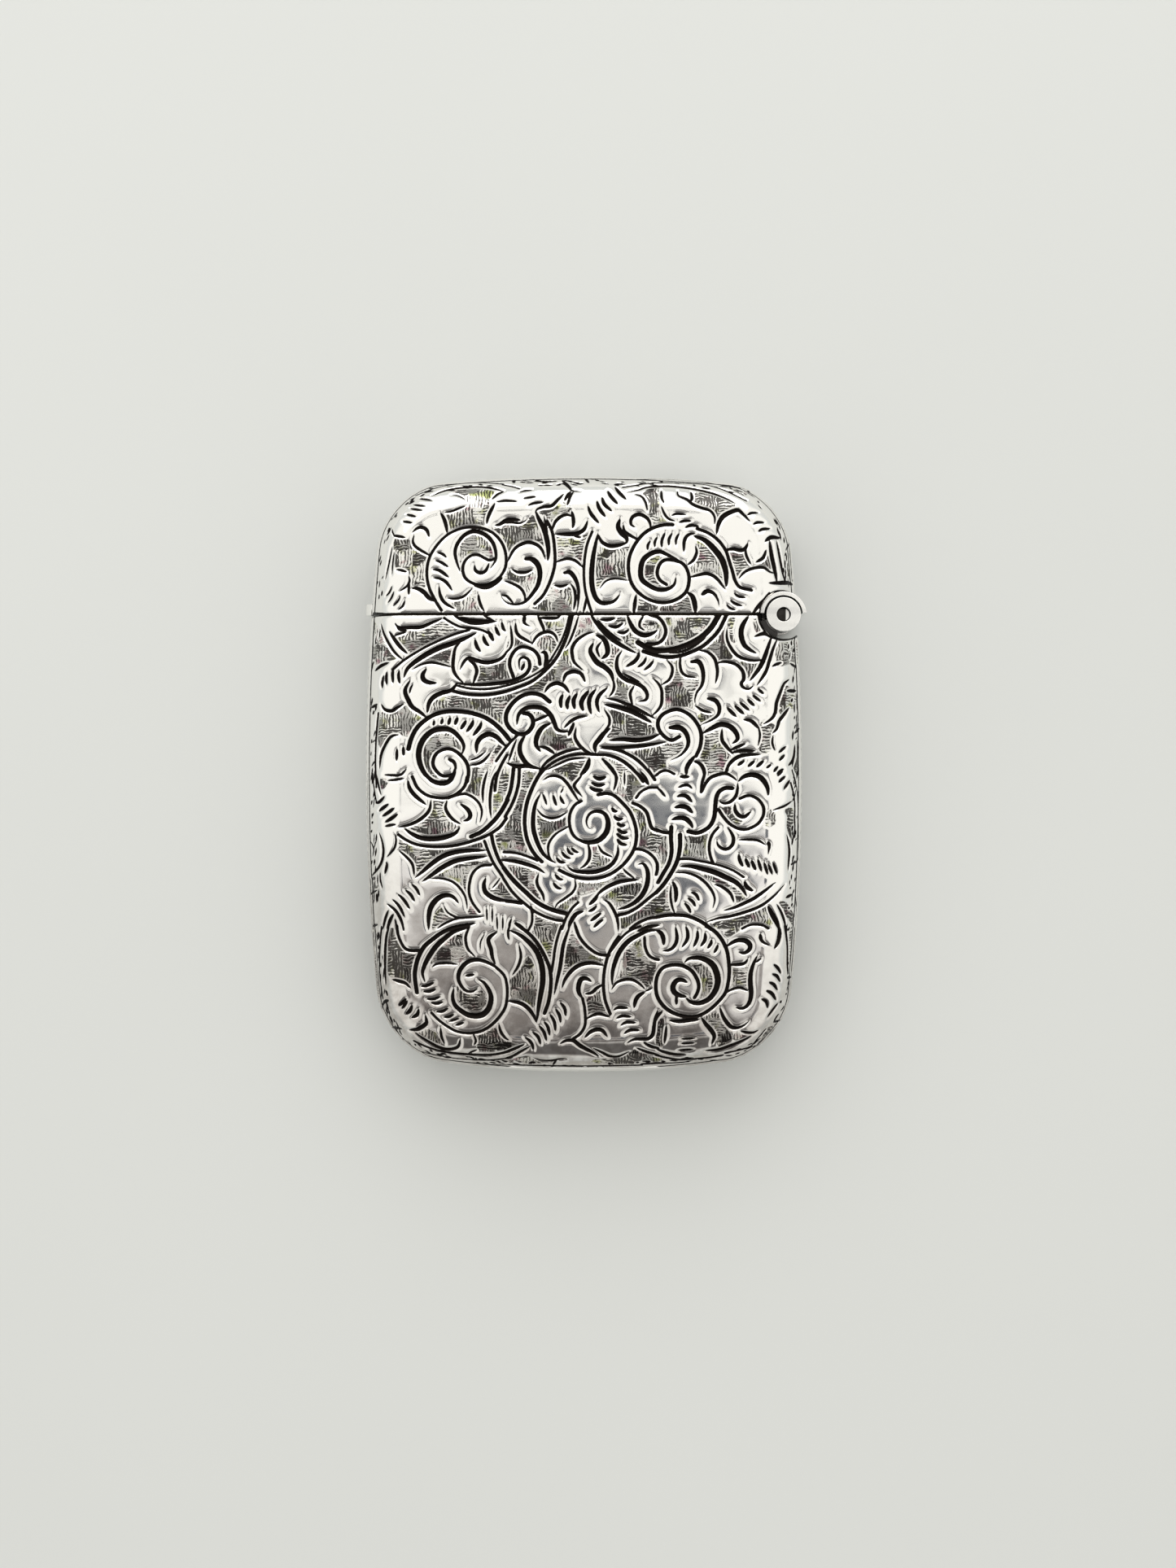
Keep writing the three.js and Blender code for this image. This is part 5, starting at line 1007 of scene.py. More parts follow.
def rolled_up(p, q):
    """The smooth outer surface of the front at places of the unrolled face."""
    near_x, near_y, out_x, out_y, away = core_offset(p, q)
    run = np.maximum(away - CORE_R, 0.0)
    turn = np.interp(run, EDGE_RUNS, TURNS)
    reach = EDGE_IN * np.sin(turn)
    drop = EDGE_DROP * (1 - np.cos(turn)) + np.maximum(run - EDGE_RUN, 0.0)
    radius = np.minimum(away, CORE_R) + reach
    x, y = bow(near_x + out_x * radius, near_y + out_y * radius)
    return np.stack([x, y, THICKNESS - drop], axis=-1)


def way_out(p, q):
    """Unit vectors pointing straight out of the smooth surface."""
    across = rolled_up(p + SLOPE_STEP, q) - rolled_up(p - SLOPE_STEP, q)
    along = rolled_up(p, q + SLOPE_STEP) - rolled_up(p, q - SLOPE_STEP)
    normal = np.cross(across, along)
    return normal / np.linalg.norm(normal, axis=-1, keepdims=True)


def unrolled(drawn):
    """The places of the unrolled face that drawn points show, seen from the eye point."""
    seen_x, seen_y = drawn[:, 0], drawn[:, 1]
    z = np.full(len(drawn), THICKNESS)
    for _ in range(ROUNDS):
        scale = (EYE[2] - z) / (EYE[2] - THICKNESS)
        x = EYE[0] + (seen_x - EYE[0]) * scale
        y = EYE[1] + (seen_y - EYE[1]) * scale
        bowed_x, bowed_y = bow(x, y)
        x = x * x / np.where(bowed_x == 0, 1, bowed_x)
        y = y * y / np.where(bowed_y == 0, 1, bowed_y)
        near_x, near_y, out_x, out_y, away = core_offset(x, y)
        reach = np.clip(away - CORE_R, 0.0, EDGE_SEEN * EDGE_IN)
        turn = np.arcsin(reach / EDGE_IN)
        z = THICKNESS - EDGE_DROP * (1 - np.cos(turn))
    radius = np.minimum(away, CORE_R) + np.interp(turn, TURNS, EDGE_RUNS)
    return np.stack([near_x + out_x * radius, near_y + out_y * radius], axis=-1)


# ---- Rastering the engraving onto the unrolled face ----

GRID_MARGIN = 0.4
HALF_P = CORE_X + CORE_R + EDGE_RUN + BAND_RUN + GRID_MARGIN
HALF_Q = CORE_Y + CORE_R + EDGE_RUN + BAND_RUN + GRID_MARGIN
COLUMNS = int(HALF_P / PITCH)
ROWS = int(HALF_Q / PITCH)
GRID_P = np.arange(-COLUMNS, COLUMNS + 1) * PITCH
GRID_Q = np.arange(-ROWS, ROWS + 1) * PITCH
cut_field = np.full((len(GRID_P), len(GRID_Q)), REACH)
ground_field = np.full((len(GRID_P), len(GRID_Q)), REACH)


def smooth_path(points, closed=False, steps=5):
    """A curve through points, as a Catmull-Rom spline."""
    if closed:
        padded = np.concatenate([points[-1:], points, points[:2]])
    else:
        before, after = 2 * points[:1] - points[1:2], 2 * points[-1:] - points[-2:-1]
        padded = np.concatenate([before, points, after])
    t = np.linspace(0, 1, steps, endpoint=False)[:, None]
    runs = []
    for a, b, c, d in zip(padded, padded[1:], padded[2:], padded[3:]):
        square, cube = 2 * a - 5 * b + 4 * c - d, 3 * b - a - 3 * c + d
        runs.append((2 * b + (c - a) * t + square * t**2 + cube * t**3) / 2)
    path = np.concatenate(runs)
    return path if closed else np.concatenate([path, points[-1:]])


def window(low, high):
    """The part of the grid around a box of the unrolled face."""
    i0 = max(int((low[0] - GRID_P[0]) / PITCH), 0)
    i1 = min(int((high[0] - GRID_P[0]) / PITCH) + 2, len(GRID_P))
    j0 = max(int((low[1] - GRID_Q[0]) / PITCH), 0)
    j1 = min(int((high[1] - GRID_Q[0]) / PITCH) + 2, len(GRID_Q))
    return slice(i0, i1), slice(j0, j1)


def segment_distance(p, q, start, end):
    """Distance from places to a straight run, and how far along it the nearest point is."""
    run = end - start
    along = ((p - start[0]) * run[0] + (q - start[1]) * run[1]) / max(run @ run, TINY**2)
    along = np.clip(along, 0.0, 1.0)
    return np.hypot(p - start[0] - along * run[0], q - start[1] - along * run[1]), along


def engrave(path, half_widths):
    """Takes in a cut of changing width: the field holds the distance to the nearest cut's edge."""
    for start, end, first, last in zip(path, path[1:], half_widths, half_widths[1:]):
        margin = REACH + max(first, last)
        columns, rows = window(np.minimum(start, end) - margin, np.maximum(start, end) + margin)
        distance, along = segment_distance(GRID_P[columns, None], GRID_Q[None, rows], start, end)
        distance -= first + (last - first) * along
        view = cut_field[columns, rows]
        np.minimum(view, distance, out=view)


def lay_ground(path):
    """Takes in an area of ground: the field holds the distance to its edge, less than 0 inside."""
    margin = REACH
    columns, rows = window(path.min(0) - margin, path.max(0) + margin)
    p, q = GRID_P[columns, None], GRID_Q[None, rows]
    nearest = np.full((len(GRID_P[columns]), len(GRID_Q[rows])), REACH)
    inside = np.zeros(nearest.shape, bool)
    for start, end in zip(path, np.roll(path, -1, axis=0)):
        nearest = np.minimum(nearest, segment_distance(p, q, start, end)[0])
        crosses = (start[1] > q) != (end[1] > q)
        rise = end[1] - start[1]
        crossing = start[0] + (q - start[1]) * (end[0] - start[0]) / (rise if rise else TINY)
        inside ^= crosses & (p < crossing)
    view = ground_field[columns, rows]
    np.minimum(view, np.where(inside, -nearest, nearest), out=view)


COMMA_TAPER = 0.7
COMMA_START = 0.55  # share of its width at which a comma starts, and how fast it gets to the rest
COMMA_SWELL = 4
THINNEST = 0.02


def stroke_widths(kind, width, path):
    """Half the width of a cut at each point of its path."""
    steps = np.linalg.norm(np.diff(path, axis=0), axis=1)
    along = np.concatenate([[0.0], np.cumsum(steps)]) / max(steps.sum(), TINY)
    along = np.clip(along, 0.0, 1.0)
    if kind == "cut":
        share = (4 * along * (1 - along)) ** 0.5
    elif kind == "comma":
        swell = np.minimum(1.0, COMMA_START + COMMA_SWELL * along)
        share = (1 - along) ** COMMA_TAPER * swell
    else:
        share = np.ones_like(along)
    return np.maximum(width / 2 * share, THINNEST)


GROUND_STEPS = 3


def engrave_panel(panel):
    """Cuts what one panel of the drawing says: an indented line carries on the one above it."""
    for line in panel.strip().replace("\n ", " ").splitlines():
        kind, *words = line.split()
        numbers = [float(word) for word in words]
        width = 0.0 if kind == "ground" else numbers.pop(0)
        points = np.array(numbers).reshape(-1, 2)
        if kind == "ground":
            lay_ground(unrolled(smooth_path(points, closed=True, steps=GROUND_STEPS)))
        else:
            path = unrolled(smooth_path(points))
            engrave(path, stroke_widths(kind, width, path))


# The rounded edge carries small nicks, and a border of slanting leaf cuts between two lines. The first
# two edge lines are painted shade: black cuts for the dark band along the case's outline.

LEAF_STEP = 0.82
LEAF_RUNS = (4.7, 5.45)  # how far out from the flat face they start and end
LEAF_WIDTH = 0.24
LEAF_LEAN = 0.6
EDGE_LINES = ((3.5, 0.24), (4.5, 0.22), (5.75, 0.1))  # how far out each lies, and its width; the first two are painted shade along the outline
RING_PLACES = 1500
EDGE_MARKS = 300  # small nicks just inside the edge line
MARK_RUNS = (2.35, 3.5)
MARK_LENGTHS = (0.35, 1.1)
MARK_WIDTHS = (0.12, 0.26)
MARK_START = 0.75  # share of the way across their run by which they have started
MARK_SLANT = 0.25
MARK_POINTS = 4
CORNER_POINTS = 12
LUCK_SEED = 7


def edge_path(run):
    """A closed path round the case, a set run out from the flat face."""
    radius = CORE_R + run
    points = []
    for side_x, side_y, start in ((1, 1, 0), (-1, 1, 90), (-1, -1, 180), (1, -1, 270)):
        for turn in np.radians(start + np.linspace(0, 90, CORNER_POINTS)):
            x = side_x * CORE_X + radius * math.cos(turn)
            y = side_y * CORE_Y + radius * math.sin(turn)
            points.append((x, y))
    points = np.array(points + points[:1])
    lengths = np.concatenate([[0], np.cumsum(np.linalg.norm(np.diff(points, axis=0), axis=1))])
    places = np.linspace(0, lengths[-1], RING_PLACES)
    return np.stack([np.interp(places, lengths, points[:, k]) for k in (0, 1)], axis=-1)


def between_rings(rings, place, share):
    """A point part of the way from the inner ring to the outer one."""
    place = place % RING_PLACES
    return rings[0][place] * (1 - share) + rings[1][place] * share


def engrave_edge():
    """Cuts the lines, the nicks and the border of leaves on the rounded edge."""
    for run, width in EDGE_LINES:
        line = edge_path(run)
        engrave(line, np.full(len(line), width / 2))
    places_per_mm = 1 / np.linalg.norm(np.diff(edge_path(LEAF_RUNS[0])[:2], axis=0))

    luck = np.random.default_rng(LUCK_SEED)
    rings = [edge_path(run) for run in MARK_RUNS]
    for place in luck.integers(0, RING_PLACES, EDGE_MARKS):
        reach = int(luck.uniform(*MARK_LENGTHS) * places_per_mm)
        share = luck.uniform(0, MARK_START)
        start = between_rings(rings, place, share)
        end = between_rings(rings, place + reach, share + luck.uniform(0, MARK_SLANT))
        path = np.linspace(start, end, MARK_POINTS)
        engrave(path, stroke_widths("cut", luck.uniform(*MARK_WIDTHS), path))

    rings = [edge_path(run) for run in LEAF_RUNS]
    lean = int(LEAF_LEAN * places_per_mm)
    for place in range(0, RING_PLACES, int(LEAF_STEP * places_per_mm)):
        points = []
        for share in (0.0, 0.5, 1.0):
            points.append(between_rings(rings, place + int(lean * share**2), share))
        path = smooth_path(np.array(points))
        engrave(path, stroke_widths("comma", LEAF_WIDTH, path))


# ---- Half shells ----

def sampled(field, p, q):
    """A field's values between the places of its grid."""
    column = np.clip((p - GRID_P[0]) / PITCH, 0, len(GRID_P) - 1)
    row = np.clip((q - GRID_Q[0]) / PITCH, 0, len(GRID_Q) - 1)
    i = np.minimum(column.astype(int), len(GRID_P) - 2)
    j = np.minimum(row.astype(int), len(GRID_Q) - 2)
    s, t = column - i, row - j
    low = field[i, j] * (1 - s) + field[i + 1, j] * s
    high = field[i, j + 1] * (1 - s) + field[i + 1, j + 1] * s
    return low * (1 - t) + high * t


def unevenness(p, q):
    """Low waves left by the stamping and by years of wear."""
    total = sum(strength * np.sin(a * p + b * q + start) for strength, a, b, start in WAVES)
    return DENT_HEIGHT * (total / sum(wave[0] for wave in WAVES) - 1)


def relief(p, q, cut, ground):
    """How far the engraved metal stands out from the smooth surface: never above it."""
    face, dome = 1.0, 0.0
    for place, flat, fall in ((p, FLAT_X, DOME_X), (q, FLAT_Y, DOME_Y)):
        past = np.maximum(np.abs(place) - flat, 0) / FLAT_FADE
        face = face * np.clip(1 - past**2, 0, 1)
        dome = dome - fall * np.minimum((place / flat) ** 2, 1.0)
    edge = np.clip((core_offset(p, q)[4] - CORE_R) / EDGE_IN, 0, 1)
    height = dome * (1 - edge) + unevenness(p, q) * face
    height -= SHOULDER_DEPTH * np.clip(1 - np.maximum(cut, 0) / SHOULDER_WIDTH, 0, 1) ** 2
    height -= PILLOW_DEPTH * np.clip(1 - np.maximum(cut, 0) / REACH, 0, 1) ** 2
    height -= np.clip(-cut * CUT_SLOPE, 0, CUT_DEPTH)
    height -= GROUND_DEPTH * np.clip(0.5 - ground / GROUND_FADE, 0, 1)
    return height


def base_opening(x):
    """Height above the middle of the case at which the base frame's opening ends."""
    half_length, half_height = BASE_LENS
    radius = (half_length**2 + half_height**2) / (2 * half_height)
    inside = np.maximum(radius**2 - np.minimum(np.abs(x), half_length) ** 2, 0)
    return np.maximum(np.sqrt(inside) - (radius - half_height), 0)


def room(part, points):
    """How far inside its own half shell a point is: nothing at the shell's edges."""
    x, y, z = points[..., 0], points[..., 1], points[..., 2]
    opening = np.where(y < -CORE_Y, base_opening(x), 0.0)
    from_middle = z - MID_Z - MID_GAP / 2 - opening
    notch_r = BODY_NOTCH_R if part == "body" else LID_NOTCH_R
    from_hinge = np.hypot(x - HINGE[0], y - HINGE[1]) - notch_r
    from_seam = (SEAM_Y - y if part == "body" else y - SEAM_Y) - SEAM_GAP / 2
    return np.minimum(np.minimum(from_middle, from_hinge), from_seam)


def clear_of_hinge(part, places):
    """Moves places that dip into the notch for the hinge out to its edge."""
    notch_r = BODY_NOTCH_R if part == "body" else LID_NOTCH_R
    across, along = places[:, 0] - HINGE[0], places[:, 1] - HINGE[1]
    push = np.maximum(notch_r / np.maximum(np.hypot(across, along), PITCH), 1.0)
    return np.stack([HINGE[0] + across * push, HINGE[1] + along * push, places[:, 2]], axis=-1)


def surface(p, q, inset):
    """The smooth surface, set in by so much."""
    return rolled_up(p, q) - way_out(p, q) * inset


def sheet(part, pitch, inset):
    """One skin of a half shell: places, quads between them and the loop round its edge."""
    columns = np.arange(-int(HALF_P / pitch), int(HALF_P / pitch) + 1) * pitch
    rows = np.arange(-int(HALF_Q / pitch), int(HALF_Q / pitch) + 1) * pitch
    p, q = np.meshgrid(columns, rows, indexing="ij")
    inside = room(part, surface(p, q, inset)) > 0
    whole = inside[:-1, :-1] & inside[1:, :-1] & inside[:-1, 1:] & inside[1:, 1:]
    i, j = np.nonzero(whole)
    number = np.arange(p.size).reshape(p.shape)
    quads = np.stack([number[i, j], number[i + 1, j], number[i + 1, j + 1], number[i, j + 1]], axis=-1)
    used, flat = np.unique(quads, return_inverse=True)
    quads = flat.reshape(quads.shape)
    p, q = p.ravel()[used].copy(), q.ravel()[used].copy()
    loop = edge_loop(quads)
    edge = np.array(loop)
    for _ in range(ROUNDS):
        p[edge], q[edge] = to_the_edge(part, p[edge], q[edge], inset)
    return p, q, quads, loop


ROOM_STEP = 0.01
LEAST_SLOPE = 0.25
FARTHEST_PUSH = 1.5 * PITCH


def to_the_edge(part, p, q, inset):
    """Moves places towards where the shell ends."""
    here = room(part, surface(p, q, inset))
    slope_p = (room(part, surface(p + ROOM_STEP, q, inset)) - here) / ROOM_STEP
    slope_q = (room(part, surface(p, q + ROOM_STEP, inset)) - here) / ROOM_STEP
    push = here / np.maximum(slope_p**2 + slope_q**2, LEAST_SLOPE)
    shift = np.maximum(np.hypot(push * slope_p, push * slope_q), TINY)
    push = push * np.minimum(FARTHEST_PUSH / shift, 1.0)
    return p - push * slope_p, q - push * slope_q


def edge_loop(quads):
    """The quads' outer edge, as one loop of vertex numbers."""
    starts = quads.ravel()
    ends = np.roll(quads, -1, axis=1).ravel()
    keys = starts.astype(np.int64) * (quads.max() + 1) + ends
    back_keys = ends.astype(np.int64) * (quads.max() + 1) + starts
    open_edge = ~np.isin(keys, back_keys)
    following = {}
    for start, end in zip(starts[open_edge].tolist(), ends[open_edge].tolist()):
        following.setdefault(start, []).append(end)
    longest = []
    while following:
        here = next(iter(following))
        loop = []
        while following.get(here):
            loop.append(here)
            ahead = following[here].pop()
            if not following[here]:
                del following[here]
            here = ahead
        if len(loop) > len(longest):
            longest = loop
    return longest


def zipped(outer, inner, first_inner):
    """Triangles between two loops of points that run the same way round."""
    shift = int(np.argmin(np.linalg.norm(inner - outer[0], axis=1)))
    order = (np.arange(len(inner)) + shift) % len(inner)
    lengths = []
    for loop in (outer, inner[order]):
        steps = np.linalg.norm(np.roll(loop, -1, axis=0) - loop, axis=1)
        lengths.append(np.cumsum(steps) / steps.sum())
    triangles = []
    a = b = 0
    while a < len(outer) or b < len(inner):
        left = a % len(outer)
        right = first_inner + order[b % len(inner)]
        if b >= len(inner) or (a < len(outer) and lengths[0][a] <= lengths[1][b]):
            triangles.append((right, left, (a + 1) % len(outer)))
            a += 1
        else:
            triangles.append((left, first_inner + order[(b + 1) % len(inner)], right))
            b += 1
    return triangles


def half_shells(part):
    """A shell's front and back half, each with its engraved skin, inner skin and cut edge."""
    p, q, quads, loop = sheet(part, PITCH, 0.0)
    cut, ground = sampled(cut_field, p, q), sampled(ground_field, p, q)
    smooth = rolled_up(p, q)
    from_seam = np.abs(smooth[:, 1] - SEAM_Y) - SEAM_GAP / 2
    from_hinge = np.hypot(smooth[:, 0] - HINGE[0], smooth[:, 1] - HINGE[1]) - BODY_NOTCH_R
    # The metal beside the seam and the hinge notch is cut a little and turned black: painted shade of
    # the gaps.
    cut = np.minimum(cut, np.minimum(from_seam - SEAM_SHADE, from_hinge - NOTCH_SHADE[part]))
    outer = clear_of_hinge(part, smooth + way_out(p, q) * relief(p, q, cut, ground)[:, None])
    inner_p, inner_q, inner_quads, inner_loop = sheet(part, INNER_PITCH, WALL)
    inner = surface(inner_p, inner_q, WALL)
    rim_outer, rim_inner = outer[loop], inner[inner_loop]
    rim = zipped(rim_outer, rim_inner, len(rim_outer))
    points = np.concatenate([outer, inner, rim_outer, rim_inner])
    rim_start = len(outer) + len(inner)
    faces = [quads, inner_quads[:, ::-1] + len(outer), np.array(rim) + rim_start]
    fields = {
        "cut": np.concatenate([cut, np.full(len(points) - len(cut), REACH)]),
        "ground": np.concatenate([ground, np.full(len(points) - len(cut), REACH)]),
    }
    made = []
    for side in ("front", "back"):
        places, winding = points.copy(), faces
        if side == "back":
            places[:, 2] = THICKNESS - places[:, 2]
            winding = [group[:, ::-1] for group in faces]
        made.append(shell_object(f"engraved_{part}_{side}", places, winding, fields))
    return made


def shell_object(name, places, faces, fields):
    """A mesh object of one half shell: its outer skin, its inner skin and its cut edge."""
    mesh = bpy.data.meshes.new(name)
    sizes = np.concatenate([np.full(len(group), group.shape[1]) for group in faces])
    corners = np.concatenate([group.ravel() for group in faces])
    mesh.vertices.add(len(places))
    mesh.vertices.foreach_set("co", (places * MM).ravel())
    mesh.loops.add(len(corners))
    mesh.loops.foreach_set("vertex_index", corners.astype(np.int32))
    mesh.polygons.add(len(sizes))
    starts = np.concatenate([[0], np.cumsum(sizes)[:-1]])
    mesh.polygons.foreach_set("loop_start", starts.astype(np.int32))
    skins = np.concatenate([np.full(len(group), index) for index, group in enumerate(faces)])
    mesh.polygons.foreach_set("material_index", skins.astype(np.int32))
    mesh.polygons.foreach_set("use_smooth", skins < 2)
    mesh.update(calc_edges=True)
    for field, values in fields.items():
        attribute = mesh.attributes.new(field, "FLOAT", "POINT")
        attribute.data.foreach_set("value", values.astype(np.float32))
    for material in (engraved_silver, gilt_inside, plain_silver):
        mesh.materials.append(material)
    thing = bpy.data.objects.new(name, mesh)
    bpy.context.scene.collection.objects.link(thing)
    return thing


# ---- Finishes ----

class Nodes:
    """Short ways to lay out a material's nodes."""

    def __init__(self, tree):
        self.tree = tree

    def add(self, kind, **settings):
        node = self.tree.nodes.new(kind)
        for name, value in settings.items():
            setattr(node, name, value)
        return node

    def join(self, value, socket):
        """Links a socket, or sets a plain value."""
        if isinstance(value, bpy.types.NodeSocket):
            self.tree.links.new(value, socket)
        else:
            socket.default_value = value

    def math(self, operation, *values, clamp=False):
        node = self.add("ShaderNodeMath", operation=operation, use_clamp=clamp)
        for value, socket in zip(values, node.inputs):
            self.join(value, socket)
        return node.outputs[0]

    def fade(self, value, start, end, low=0.0, high=1.0):
        """Low before start, high after end, and a soft step between; start may be past end."""
        node = self.add("ShaderNodeMapRange", interpolation_type="SMOOTHSTEP")
        for number, given in enumerate((value, start, end, low, high)):
            self.join(given, node.inputs[number])
        return node.outputs[0]

    def blend(self, share, first, second, mode="MIX"):
        node = self.add("ShaderNodeMix", data_type="RGBA", blend_type=mode)
        self.join(share, node.inputs[0])
        for colour, socket in ((first, node.inputs[6]), (second, node.inputs[7])):
            linked = isinstance(colour, bpy.types.NodeSocket)
            self.join(colour if linked else (*colour, 1.0), socket)
        return node.outputs[2]

    def places(self, scale=(1000, 1000, 1000), turn=(0, 0, 0)):
        """Object coordinates, in millimetres unless scaled otherwise."""
        node = self.add("ShaderNodeMapping")
        node.inputs["Scale"].default_value = scale
        node.inputs["Rotation"].default_value = turn
        self.join(self.add("ShaderNodeTexCoord").outputs["Object"], node.inputs["Vector"])
        return node.outputs[0]

    def noise(self, places, scale, detail=3.0, roughness=0.55):
        node = self.add("ShaderNodeTexNoise")
        settings = {"Vector": places, "Scale": scale, "Detail": detail, "Roughness": roughness}
        for name, value in settings.items():
            self.join(value, node.inputs[name])
        return node.outputs["Fac"]

    def axes(self, places):
        """The x, y and z of places."""
        node = self.add("ShaderNodeSeparateXYZ")
        self.join(places, node.inputs[0])
        return node.outputs

    def bump(self, height, strength, distance, under=None):
        node = self.add("ShaderNodeBump")
        node.inputs["Strength"].default_value = strength
        node.inputs["Distance"].default_value = distance
        self.join(height, node.inputs["Height"])
        if under is not None:
            self.join(under, node.inputs["Normal"])
        return node.outputs[0]


def finish_of(name):
    """A new material with its nodes and its shader."""
    material = bpy.data.materials.new(name)
    material.use_nodes = True
    nodes = Nodes(material.node_tree)
    shader = next(node for node in material.node_tree.nodes if node.type == "BSDF_PRINCIPLED")
    return material, nodes, shader


SILVER = (0.93, 0.915, 0.885)
BRIGHT = (0.97, 0.955, 0.925)
OXIDE = (0.010, 0.008, 0.007)
SOOT = (0.030, 0.026, 0.024)
LOWER_GREY = (0.47, 0.44, 0.415)  # greyer colour over the lower part
GILT = (0.92, 0.72, 0.42)
TARNISH = (0.50, 0.42, 0.31)
STEEL = (0.40, 0.41, 0.43)
# the pin's colour: near black, as painted shade in the hinge's bore
PIN_SHADE = (0.06, 0.055, 0.05)
HATCH_PITCH = 0.23
HATCH_WANDER = 0.7  # how far the strokes wander
BLOCKS_PER_MM = 0.85
STROKE_SHARES = (1.9, 0.9)  # how much the flecks and the block's own luck thin the strokes
STROKE_LEVEL = 0.82
STROKE_SOFTNESS = 0.16
CUT_FADE = (0.035, -0.015)  # distances from a cut's edge between which it turns black
CUT_RAG = 0.05
GROUND_EDGE = (0.04, -0.05)
HATCH_CLEAR = (0.10, 0.16)  # the hatching stops short of the cuts
BLOCK_DARK = 0.62  # how dark the darkest blocks are between their strokes
STROKE_DARK = 0.93
LOWER_GREY_FROM, LOWER_GREY_FULL = -4.0, -22.0  # heights on the case between which it turns greyer
LOWER_GREY_DRIFT = 14.0  # how far the greying strays
LOWER_GREY_LEAN = 0.2  # and how it leans across the case
WEAR_SPAN = (0.35, 0.65)
ENGRAVED_ROUGH = (0.05, 0.11)
HATCHED_ROUGHER = 0.10
CUT_ROUGHER = 0.35
DIRT_ROUGHER = 0.3
STROKE_HEIGHT = 0.04
SCRATCH_HEIGHT = 0.02
HOLLOW_REACH = 0.8  # how narrow a hollow gets painted shade
HOLLOW_FADE = (0.58, 0.26)  # from how open to how shut a hollow goes from unshaded to full painted shade
HOLLOW_DARK = 0.97
HIGHLIGHT_FADE = 0.1
SHADED_PAST_FADE = 0.06
SHADED_PAST_DARK = 0.93
PIN_HIGHLIGHT = 0.16  # how far past its middle the pin's painted highlight starts
EDGE_SOFTNESS = 0.08
KNUCKLE_R = 1.33


SCRATCH_SETS = ((0.35, 40.0), (-0.9, 34.0), (1.35, 46.0))  # turn and closeness of each set
SCRATCH_LENGTH = 14
SCRATCH_FINENESS = 500
SCRATCH_SCALE = 0.06


def scratches(nodes):
    """Fine wear in three directions."""
    fine = []
    for turn, stretch in SCRATCH_SETS:
        scale = (stretch * SCRATCH_LENGTH, stretch * SCRATCH_FINENESS, stretch * SCRATCH_LENGTH)
        places = nodes.places(scale=scale, turn=(0, 0, turn))
        fine.append(nodes.noise(places, SCRATCH_SCALE, 2.0))
    total = nodes.math("ADD", nodes.math("ADD", fine[0], fine[1]), fine[2])
    return nodes.math("MULTIPLY", total, 1 / len(fine))


def hatching(nodes, places):
    """Rows of graver strokes in small blocks, up and down in some and across in others.

    Also gives a number for each block, for how dark it is between its strokes.
    """
    blocks = nodes.add("ShaderNodeTexVoronoi", distance="CHEBYCHEV")
    nodes.join(places, blocks.inputs["Vector"])
    blocks.inputs["Scale"].default_value = BLOCKS_PER_MM
    lot = nodes.add("ShaderNodeSeparateColor")
    nodes.join(blocks.outputs["Color"], lot.inputs[0])
    across = nodes.math("GREATER_THAN", lot.outputs[0], 0.5)
    x, y = nodes.axes(places)[:2]
    upright = nodes.math("SUBTRACT", 1.0, across)
    side = nodes.math("ADD", nodes.math("MULTIPLY", x, upright), nodes.math("MULTIPLY", y, across))
    wander = nodes.math("MULTIPLY", nodes.noise(places, 0.9, 2.0), HATCH_WANDER)
    wave = nodes.math("PINGPONG", nodes.math("ADD", side, wander), HATCH_PITCH / 2)
    wave = nodes.math("DIVIDE", wave, HATCH_PITCH / 2)
    fleck = nodes.noise(places, 2.6, 3.0, 0.7)
    parts = zip((fleck, lot.outputs[1]), STROKE_SHARES)
    level = nodes.math("ADD", *[nodes.math("MULTIPLY", part, share) for part, share in parts])
    over = nodes.math("SUBTRACT", wave, nodes.math("SUBTRACT", level, STROKE_LEVEL))
    strokes = nodes.fade(over, -STROKE_SOFTNESS, STROKE_SOFTNESS)
    return strokes, lot.outputs[2]


TINT_STOPS = (
    (0.29, (0.42, 0.24, 0.30)),
    (0.36, (0.62, 0.52, 0.50)),
    (0.42, (0.86, 0.84, 0.80)),
    (0.58, (0.86, 0.85, 0.80)),
    (0.65, (0.60, 0.60, 0.40)),
    (0.72, (0.38, 0.42, 0.17)),
)


def tints(nodes, places):
    """The colours of old tarnished silver between the strokes: bare in most places."""
    ramp = nodes.add("ShaderNodeValToRGB")
    nodes.join(nodes.noise(places, 0.8, 2.0, 0.6), ramp.inputs[0])
    elements = ramp.color_ramp.elements
    while len(elements) < len(TINT_STOPS):
        elements.new(0.5)
    for element, (place, colour) in zip(elements, TINT_STOPS):
        element.position = place
        element.color = (*colour, 1.0)
    return ramp.outputs[0]


def lower_greying(nodes, places):
    """How much greyer the silver is: mottled, and more and more so towards the base."""
    x, y = nodes.axes(places)[:2]
    drift = nodes.math("SUBTRACT", nodes.noise(places, 0.16, 3.0), 0.5)
    drift = nodes.math("MULTIPLY", drift, LOWER_GREY_DRIFT)
    lean = nodes.math("MULTIPLY", x, LOWER_GREY_LEAN)
    level = nodes.math("ADD", y, nodes.math("ADD", drift, lean))
    mottle = nodes.fade(nodes.noise(places, 1.3, 4.0), *WEAR_SPAN, 0.62, 1.0)
    return nodes.math("MULTIPLY", nodes.fade(level, LOWER_GREY_FROM, LOWER_GREY_FULL), mottle)


